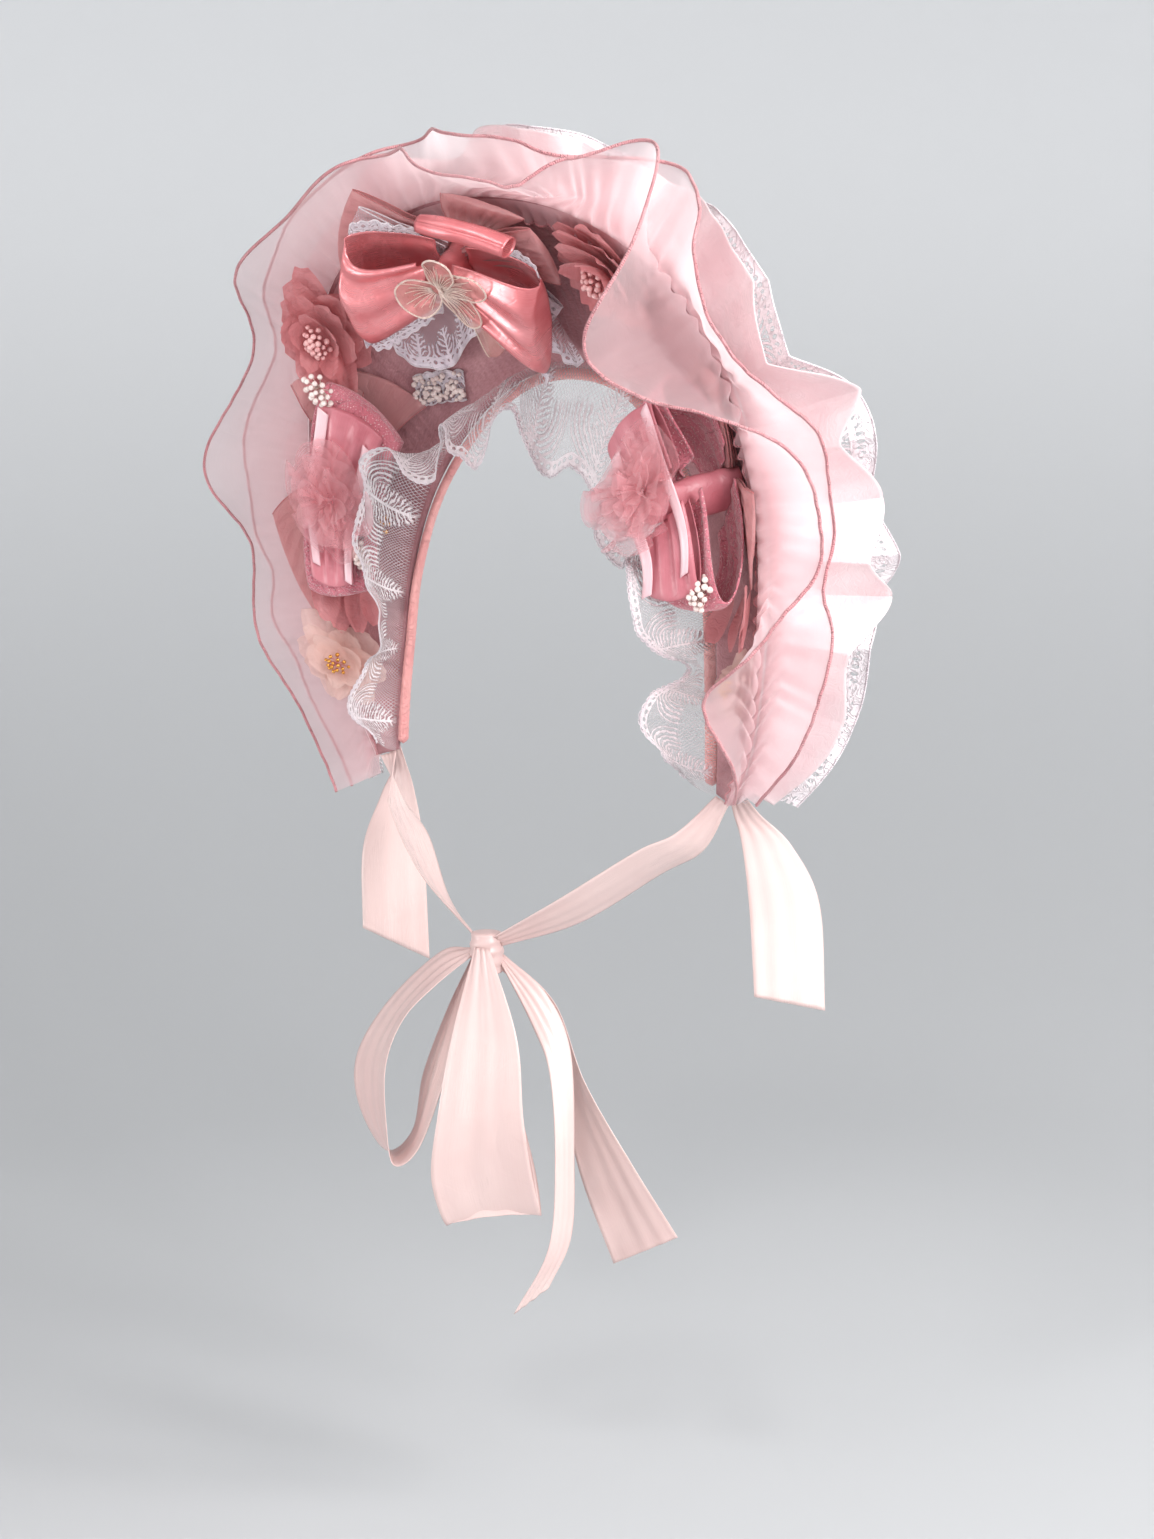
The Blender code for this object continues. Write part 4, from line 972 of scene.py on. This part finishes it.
def make_band():
    """The rolled satin binding: an oval tube along the head edge whose surface is creased round it."""
    t, w = evenly(361), evenly(25)[None, :]
    arcs = np.linspace(-BAND_END, BAND_END, 361)
    outward, back, _ = directions(arcs, 0 * arcs)
    middle = on_brim(arcs, BRIM_START, -BRIM_WALL / 2) - (BAND_RADIUS + BAND_GAP) * outward
    middle = middle - 1.6 * MM * back
    crease = 1 + 0.05 * pleats(edge_length(arcs)[:, None] + 0.004 * np.sin(TURN * w), 0.006, 5)
    ends = np.clip(np.minimum(t, 1 - t) / 0.006, 0.0, 1)[:, None] ** 0.5
    x = (BAND_RADIUS * crease * ends * np.cos(TURN * w))[..., None]
    y = (BAND_RADIUS * 1.9 * crease * ends * np.sin(TURN * w))[..., None]
    points = middle[:, None] + x * outward[:, None] - y * back[:, None]
    body = meshed(points[:, :-1], cloth_uv(points), closed_v=True)
    piece("band", "brim_cloth", {"band_satin": [body]}, ["head_band"])


def make_ruffles():
    """The ruffles sewn to the brim's edge: seam + reach v (cos b outward + sin b back) + slide along +
    gathers across, where the angle b grows to the swing over the first part of the reach. Then the
    gathered heading, a narrow waved strip over the organza's seam."""
    v = evenly(30)
    w = np.clip(v / STRAIGHT, 0, 1)
    taken = w * w * (3 - 2 * w)
    for layer, (row, own) in enumerate(zip(FRILLS, (FRONT, BACK, RIBBON, LACE))):
        name, slot, cloth, cord, radius, solid, rows, seam, height, wall, waves = row
        arc = arcs_of(rows, 1100)
        ripple = gathers(edge_length(arc), v, *waves) * MM
        outward, back, along = (way[:, None] for way in directions(arc, np.full_like(arc, seam)))
        angle = (np.radians(swing(arc, layer))[:, None] * taken)[..., None]
        way = np.cos(angle) * outward + np.sin(angle) * back
        across = np.cos(angle) * back - np.sin(angle) * outward
        slide = ((smooth(arc, FRONT, 3) * MM)[:, None] * taken)[..., None]
        reach = (smooth(arc, own, 1) * MM)[:, None, None] * v[:, None]
        points = on_brim(arc, seam, height)[:, None] + reach * way + slide * along
        points = points + ripple[..., None] * across
        cords = {cord: hem_cord(points, radius, 6)} if cord else {}
        sewn(name, slot, cloth, points, wall, "gathered", ["brim"], [solid], **cords)
    arc, v = 2 * evenly(1300) - 1, evenly(9)
    s = edge_length(arc)
    wave = (1.3 + 1.1 * pleats(s, 0.0085, 51))[:, None] * (1 - v) ** 1.2 * 1.4
    shift = 0.012 * pleats(s, 0.0065, 52)[:, None] * (1 - v)
    depth = HEADER_START + HEADER_DEPTH * v - HEADER_MORE * (1 - v) - shift
    points = on_brim(arc[:, None], depth, UNDER_ORGANZA + wave * MM)[:, ::-1]
    sewn("header_frill_edge", "organza", "header_organza", points, 0, "gathered", ["brim"],
         ["header_frill"], organza_cord=hem_cord(points, 0.55))


def face_frill(arc, v, scallop):
    """The lace at the head edge: seam + forward v^0.85 + inward and along v^1.4, its reach shortened a
    little between the scallops."""
    seam = on_brim(arc, FACE_SEAM, UNDER_ORGANZA)[:, None]
    along = unit(edge(np.minimum(arc + STEP, 1), 1) - edge(np.maximum(arc - STEP, -1), 1))
    face_way = np.array([0.0, -1.0, 0.0])
    forward = unit(face_way - (along @ face_way)[:, None] * along)
    inward = np.cross(along, forward)
    v = v[None] * scallop[:, None]
    shares = zip((1, 2, 3), (v**0.85, v**1.4, v**1.4), (forward, inward, along))
    ahead, aside, slide = (
        ((smooth(arc, FACE, k) * MM)[:, None] * share)[..., None] * way[:, None] for k, share, way in shares
    )
    return seam + ahead + aside + slide


def make_face_lace():
    """The lace round the face, with a row of small rings along its hem: the hem's point plus a circle in
    the cloth's plane."""
    arc, v = arcs_of(FACE, 1500), evenly(34)
    s = run_of(face_frill(arc, v, np.ones_like(arc))[:, -1])
    points = face_frill(arc, v, 1 - 0.11 * (1 - np.abs(np.sin(math.pi * s / FACE_SCALLOP))))
    normal = across_of(points)
    points = points + (gathers(s, v, 0.010, 0.9, 0.033, 1.3, 61) * MM)[..., None] * normal
    hem = points[:, -1]
    s = run_of(hem)
    count = int(s[-1] / RING_SPACING)
    t = np.linspace(0, count, count * 9 + 1)
    at, inner = (resampled(t / count * s[-1], s, line) for line in (hem, points[:, -4] - hem))
    ahead = unit(np.gradient(at, axis=0))
    inner = unit(inner - (inner * ahead).sum(-1, keepdims=True) * ahead)
    c, w = np.cos(TURN * t)[:, None], np.sin(TURN * t)[:, None]
    rings = at + RING_RADIUS * (w * ahead * 1.1 - c * inner)
    lean = resampled(evenly(len(rings)), evenly(len(hem)), normal[:, -1])
    cords = hem_cord(points, 0.45) + [tube(rings, 0.32, 4, lean)]
    sewn("face_lace_frill", "white_lace", "face_lace", points, 0, "gathered", ["brim"], ["face_lace"],
         lace_cord=cords)


def make_edgings(name, points, k):
    """The lace edgings of the main bow's satin loops."""
    lower, upper = (-1, 0) if name.endswith("left") else (0, -1)
    for label, is_lower, first, last, seed, width in EDGINGS:
        line = lower if is_lower else upper
        edging(f"{name}_edging_{label}", points, line, first, last, name, seed + k, width)


def make_loops(place, rows, knot, seed, side="", **sizes):
    """The loops of a bow."""
    for k, (name, *far, base, puff, neck) in enumerate(rows):
        cloth, slot, wall, crown, fold, folds, fade, lean, cord, radius = BOW_CLOTHS[name.rsplit("_", 1)[0]]
        if name + side == "side_chiffon_3_right":
            far = CHIFFON_OUTSIDE
        lean = -lean if name.endswith("left") else 0.3 * lean
        points = loop(place, far, base, puff, neck, crown=crown, fold=fold, folds=folds, lean=lean,
                      fade=fade, seed=seed + k, **sizes)
        cords = {cord: edge_cords(points, radius)} if cord else {}
        sewn(f"{name}{side}_cloth", slot, cloth, points, wall, "folded", ["brim", knot], [name + side],
             **cords)
        if name.startswith("satin"):
            make_edgings(name, points, k)


def make_lace_under(place):
    """Lace that comes out from under the main bow on both sides: a ribbon whose own normal carries small
    pleats, which grow from the bow to the hem."""
    for k, (side, rows) in enumerate(LACE_UNDER.items()):
        points = strip(rows, lambda p: place(*np.moveaxis(p, -1, 0)) / MM, 160, 15)
        ripple = 1.6 * MM * pleats(run_of(points[:, -1]), 0.012, 180 + k)[:, None] * evenly(15)
        points = points + ripple[..., None] * across_of(points)
        sewn(f"bow_lace_{side}", "white_lace", "loop_lace", points, 0, "gathered", ["main_knot", "brim"],
             lace_cord=hem_cord(points, 0.45))


def make_roll(place):
    """The rolled ribbon end: a sheet wound round the line from one end of the roll to the other. Its radius
    falls with the turns, is smaller at the start, and waves a little."""
    start, end = np.array(ROLL_FROM), np.array(ROLL_TO)
    u, w = grid(31, 41)
    way = unit(end - start)
    angle = TURN * (1.15 * w + 0.1)
    radius = ROLL_RADIUS * (1 - 0.14 * w) * (1 + 0.05 * pleats(w + 0.4 * u, 0.4, 175))
    radius = radius * (0.75 + 0.25 * np.sin(math.pi * np.clip(u * 1.6, 0, 0.5)))
    flat = start + u[..., None] * (end - start) + (radius * np.cos(angle))[..., None] * (-way[1], way[0])
    points = place(flat[..., 0], flat[..., 1], ROLL_HEIGHT + radius * np.sin(angle))
    sewn("satin_roll", "rose_satin", "rose_satin", points, SATIN_WALL, "folded",
         ["main_knot", "chiffon_loop_2"])


def make_main_knot(place):
    """The main bow's knot, with the butterfly on it."""
    knot_wrap("main_knot_cloth", "rose_satin", "rose_satin", place, KNOT_RADIUS, KNOT_FOOT, MAIN_KNOT_TOP, 7,
              "main_knot")
    make_butterfly(place)


def make_sheer_loop():
    """A small sheer loop with corded edges below the main bow."""
    points = loop(patch(*SHEER_PLACE), *SHEER_LOOP, start=2, crown=1, fold=0.3, seed=120, nu=49, nv=11)
    parts = {"wing_cloth": [walled(points)]}
    thing = piece("sheer_loop_cloth", "embroidered_organza", parts, ["sheer_loop"])
    cords = piece("sheer_loop_edge", "embroidered_organza", {"wing_thread": edge_cords(points, 0.5)})
    cut(thing, points, "folded", ["lace_loop_2"])


def make_braid():
    """The beaded braid: a flat strip whose width swells five times along it, and beads strewn over it."""
    place = patch(*BRAID_PLACE)
    u, v = grid(60, 14)
    wide = 1 + 0.12 * np.abs(np.sin(TURN * u * 2.5))
    height = UNDER_ORGANZA / MM + 0.6 * np.sin(TURN * u * 3) * v
    points = place((u - 0.5) * BEADED_LENGTH, (v - 0.5) * wide * BEADED_WIDTH, height)
    random = np.random.default_rng(130)
    x = random.uniform(-0.5, 0.5, BRAID_BEADS) * BEADED_LENGTH
    y = random.uniform(-0.48, 0.48, BRAID_BEADS) * BEADED_WIDTH
    centres = place(x, y, np.full(BRAID_BEADS, UNDER_ORGANZA / MM + 1.2))
    sewn("beaded_braid", "white_lace", "loop_lace", points, 0, "laid", ["brim"], ["beaded_lace"],
         lace_cord=edge_cords(points, 0.5))
    piece("braid_beads", "pearls", {"pearl": [beads(centres, random.uniform(1.0, 1.7, BRAID_BEADS))]})


def make_butterfly(place):
    """Four sheer wings on the main knot, each a disc drawn out to its length and width, with corded
    outlines and stitched rays, and a small body."""
    cloth, cords = [], []
    random = np.random.default_rng(140)
    for direction, long, wide, tilt in WINGS:
        c, w = math.cos(math.radians(direction)), math.sin(math.radians(direction))

        def on_wing(x, y, lift):
            height = MAIN_KNOT_TOP + lift + tilt * x + 0.5 * np.sin(x / 3)
            return place(x * c - y * w, x * w + y * c, height)

        t, r = grid(49, 13)
        x = long / 2 + long / 2 * r * np.cos(TURN * t)
        points = on_wing(x, wide / 2 * r * np.sin(TURN * t) * (0.75 + 0.35 * x / long), 1.2)
        cloth.append(ringed(points))
        cords.append(tube(points[:, -1], 0.55))
        for k in range(RAYS):
            spread = math.radians(-28 + 7 * k + random.uniform(-2, 2))
            line = np.linspace(0.12, random.uniform(0.5, 0.85), 9) * long
            ray = on_wing(line * math.cos(spread), line * math.sin(spread) * wide / long * 1.5, 1.6)
            cords.append(tube(ray, 0.28, 4))
    t = evenly(9)
    body = place(3 * t, 18 * t - 9, MAIN_KNOT_TOP + 2.6 + 0 * t)
    cords.append(tube(body, 1.1 * np.sin(math.pi * (0.1 + 0.8 * t)), 8))
    parts = {"wing_cloth": cloth, "wing_thread": cords}
    piece("butterfly_work", "embroidered_organza", parts, ["butterfly"])


def pom(place, x, radius, rise_by, seed, layers=6):
    """Gathered net round a middle, sizes in mm: ruffled rings, each more upright than the one before. A
    ring's point lies out by r and up by r times its tilt, and waves across that, most at its edge."""
    random = np.random.default_rng(seed)
    for tilt in np.linspace(0.12, 1.35, layers):
        u, v = grid(181, 17)
        size = radius * random.uniform(0.85, 1.1)
        phase = random.uniform(0, TURN)
        spread = 1 + 0.16 * np.sin(2 * TURN * u + phase) + 0.1 * np.sin(5 * TURN * u + 2 * phase)
        r = (0.12 + 0.88 * v) * size * spread
        wander = 2.4 * np.sin(TURN * u + phase) + 1.5 * np.sin(3 * TURN * u - phase)
        wave = np.sin(7 * TURN * u + wander) + 0.55 * np.sin(13 * TURN * u + 2 * phase + 3 * v)
        across = 3.2 * wave * v**1.1
        out = r * math.cos(tilt) - across * math.sin(tilt)
        rise = rise_by * r / radius * math.sin(tilt) + across * math.cos(tilt) * 0.9
        angle = TURN * u + 0.22 * np.cos(7 * TURN * u + wander) * v
        px, py = x + 1.15 * out * np.cos(angle), 0.92 * out * np.sin(angle)
        yield ringed(place(px, py, SIDE_KNOT_TOP + 1.5 + np.maximum(rise, -1.2)))


def make_side_bow(side, seed):
    """A side bow: its loops, its knot, its narrow ribbons and what is sewn on it."""
    place = side_patch(side)
    make_loops(place, SIDE_LOOPS, f"side_knot_{side}", seed, f"_{side}", bulge=5, nu=61, nv=25)
    knot_wrap(f"side_knot_{side}_cloth", "pink_satin", "side_satin", place, KNOT_RADIUS, KNOT_FOOT,
              SIDE_KNOT_TOP, seed + 20, f"side_knot_{side}")
    make_narrow_ribbons(place, side, seed)
    make_trimmings(place, side, seed)


def make_narrow_ribbons(place, side, seed):
    """Two narrow ribbons laid over a side bow's satin: each runs in one slow wave from side to side and a
    faster one up and down, and is crowned across."""
    u, v = grid(49, 7)
    for label, aside in (("outer", NARROW_SPACING / 2), ("inner", -NARROW_SPACING / 2)):
        y = aside + (v - 0.5) * NARROW_WIDTH + 0.8 * np.sin(math.pi * u * 2)
        height = NARROW_HEIGHT[side] + 0.8 * np.sin(TURN * u * 1.2 + seed) + 0.5 * (1 - (2 * v - 1) ** 2)
        sewn(f"narrow_ribbon_{label}_{side}", "pink_satin", "narrow_satin",
             place((u - 0.5) * NARROW_LENGTH, y, height), SATIN_WALL, "laid",
             [f"side_satin_upper_{side}", f"side_satin_lower_{side}"], [f"side_ribbon_{label}_{side}"])


def make_trimmings(place, side, seed):
    """What is sewn on a side bow: tulle, clusters of pearls, loose petals and gilt beads."""
    nets = pom(place, PUFF_PLACE[side], 1.25 * PUFF_RADIUS, PUFF_HEIGHT[side], seed + 30)
    piece(f"tulle_{side}", "tulle", {"tulle": list(nets)}, [f"tulle_puff_{side}"])
    for k, (x, y, height) in enumerate(PEARL_PLACES[side]):
        dots, stems = cluster(place, x, y, height, PEARL_SPREAD, PEARL_COUNT, PEARL_RADIUS, seed + 40 + k)
        piece(f"pearls_{k + 1}_{side}", "pearls", {"pearl": dots, "wing_thread": stems})
    petals = [
        petal(place, x, y, way, length, SIDE_PETAL_WIDTH, 6 + 1.2 * k, 5, 2, seed + 60 + k)
        for k, (x, y, way, length) in enumerate(SIDE_PETALS)
    ]
    piece(f"side_petals_{side}", "rose_chiffon", {"petal_cloth": petals})
    random = np.random.default_rng(seed + 50)
    x, y = (np.array(GILT_PLACES) + random.uniform(-0.6, 0.6, (5, 2))).T
    dots = beads(place(x, y, np.full(5, GILT_HEIGHT)), random.uniform(1.1, 1.8, 5))
    piece(f"gilt_beads_{side}", "gold_beads", {"gilt": [dots]})


def make_flowers():
    """The cloth flowers: rings of petals round a cluster of stamens, and gilt ones in the cream flowers."""
    for k, (name, arc, depth, radius, turns, base) in enumerate(FLOWERS):
        place, top = patch(arc, depth), base + FLOWER_STEP * turns
        rings, slot, cloth, bead, count, size, spread = FLOWER_KINDS[name.split("_")[0]]
        petals = rose(place, radius * spread, base, top, 200 + 10 * k, rings)
        piece(f"{name}_petals", slot, {cloth: petals}, [name])
        dots, stems = cluster(place, 0, 0, top + 4, radius * 0.3, count, size, 300 + k)
        piece(f"{name}_beads", "stamens", {bead: dots, "petal_cloth": stems}, [f"{name}_stamens"])


def make_ties():
    """The ribbons: ties, streamers, the chin bow's loops and tails, and its knot."""
    frames = {"plain": lambda p: p, "mirrored": lambda p: p * (-1, 1, 1), "chin": at_chin}
    for k, (name, rows, frame_of, nu, nv, crown, fold, rests_on) in enumerate(RIBBONS):
        points = strip(rows, frames[frame_of], nu, nv, crown, fold, 400 + k)
        sewn(f"{name}_ribbon", "pale_satin", "pale_satin", points, SATIN_WALL, "hung", rests_on, [name])
    knot_wrap("chin_knot_ribbon", "pale_satin", "pale_satin",
              lambda *place: at_chin(np.stack(place, -1)) * MM, CHIN_KNOT_RADIUS, -CHIN_KNOT_HALF,
              CHIN_KNOT_HALF, 410, "chin_knot")


def make_stage():
    """A pale floor that sweeps up all round into a pale wall, and soft lamps: two strong ones at the
    wearer's left and behind it, and weaker ones in front. The sweep's section is a line, a quarter circle
    and a line, turned about the upright axis."""
    t = np.concatenate([evenly(6), 1 + evenly(41)[1:], [3]])
    bend = np.clip(t - 1, 0, 1) * math.pi / 2
    out = SWEEP_START * np.minimum(t, 1) + SWEEP_RADIUS * np.sin(bend)
    up = FLOOR + SWEEP_RADIUS * (1 - np.cos(bend)) + WALL_HEIGHT * np.clip(t - 2, 0, 1)
    angle = TURN * evenly(129)[:-1, None]
    points = np.stack(np.broadcast_arrays(out * np.cos(angle), out * np.sin(angle), up), -1)
    body, faces, _ = meshed(points[:, ::-1], np.zeros((129, len(t), 2)), closed_u=True)
    mesh = bpy.data.meshes.new("floor")
    mesh.from_pydata(body, [], faces.tolist())
    mesh.shade_smooth()
    floor = bpy.data.objects.new("floor", mesh)
    scene = bpy.context.scene
    scene.collection.objects.link(floor)
    pale = bpy.data.materials.new("floor_pale")
    pale.use_nodes = True
    tree = pale.node_tree
    place = node(tree, "TexCoord").outputs["Object"]
    height = Value(node(tree, "SeparateXYZ", {"Vector": place}).outputs[2])
    tint = blend(tree, height.step(FLOOR, FLOOR + TINT_RISE), colour(*FLOOR_TINT), colour(*WALL_TINT))
    put(tree, tree.nodes["Principled BSDF"].inputs, {"Base Color": tint, "Roughness": 0.9})
    mesh.materials.append(pale)
    world = bpy.data.worlds.new("surround")
    world.use_nodes = True
    sky = {"Color": colour(*SKY_TINT), "Strength": SKY_STRENGTH}
    put(world.node_tree, world.node_tree.nodes["Background"].inputs, sky)
    scene.world = world
    for name, place, aim, size, power, tint in LAMPS:
        lamp = bpy.data.lights.new(name, "AREA")
        lamp.energy, lamp.size, lamp.color = power, size, tint
        thing = bpy.data.objects.new(name, lamp)
        scene.collection.objects.link(thing)
        thing.location = place
        way = mathutils.Vector(aim) - mathutils.Vector(place)
        thing.rotation_euler = way.to_track_quat("-Z", "Y").to_euler()
    scene.view_settings.view_transform = "Standard"
    scene.cycles.transparent_max_bounces = 24


def make_camera():
    """The photograph's view: from 40 degrees to the wearer's left and 9.5 degrees above."""
    turn_by, pitch = math.radians(CAMERA_TURN), math.radians(CAMERA_PITCH)
    level = math.cos(pitch)
    ahead = np.array([-math.sin(turn_by) * level, math.cos(turn_by) * level, -math.sin(pitch)])
    right = np.array([math.cos(turn_by), math.sin(turn_by), 0])
    up = np.cross(right, ahead)
    per_metre = LENS / FILM * PHOTO_HEIGHT / CAMERA_DISTANCE
    aside = (ORIGIN_PIXEL[0] - PHOTO_WIDTH / 2) / per_metre
    above = (PHOTO_HEIGHT / 2 - ORIGIN_PIXEL[1]) / per_metre
    camera = bpy.data.cameras.new("camera")
    camera.lens, camera.sensor_width, camera.sensor_fit = LENS, FILM, "AUTO"
    thing = bpy.data.objects.new("camera", camera)
    bpy.context.scene.collection.objects.link(thing)
    eye = -(aside * right + above * up + CAMERA_DISTANCE * ahead)
    rows = np.column_stack([right, up, -ahead, eye]).tolist()
    thing.matrix_world = mathutils.Matrix([*rows, [0, 0, 0, 1]])
    bpy.context.scene.camera = thing


main_bow = patch(*MAIN_PLACE)
make_brim()
make_band()
make_ruffles()
make_face_lace()
make_loops(main_bow, MAIN_LOOPS, "main_knot", 100)
make_lace_under(main_bow)
make_roll(main_bow)
make_main_knot(main_bow)
make_sheer_loop()
make_braid()
make_side_bow("right", 500)
make_side_bow("left", 600)
make_flowers()
make_ties()
make_stage()
make_camera()
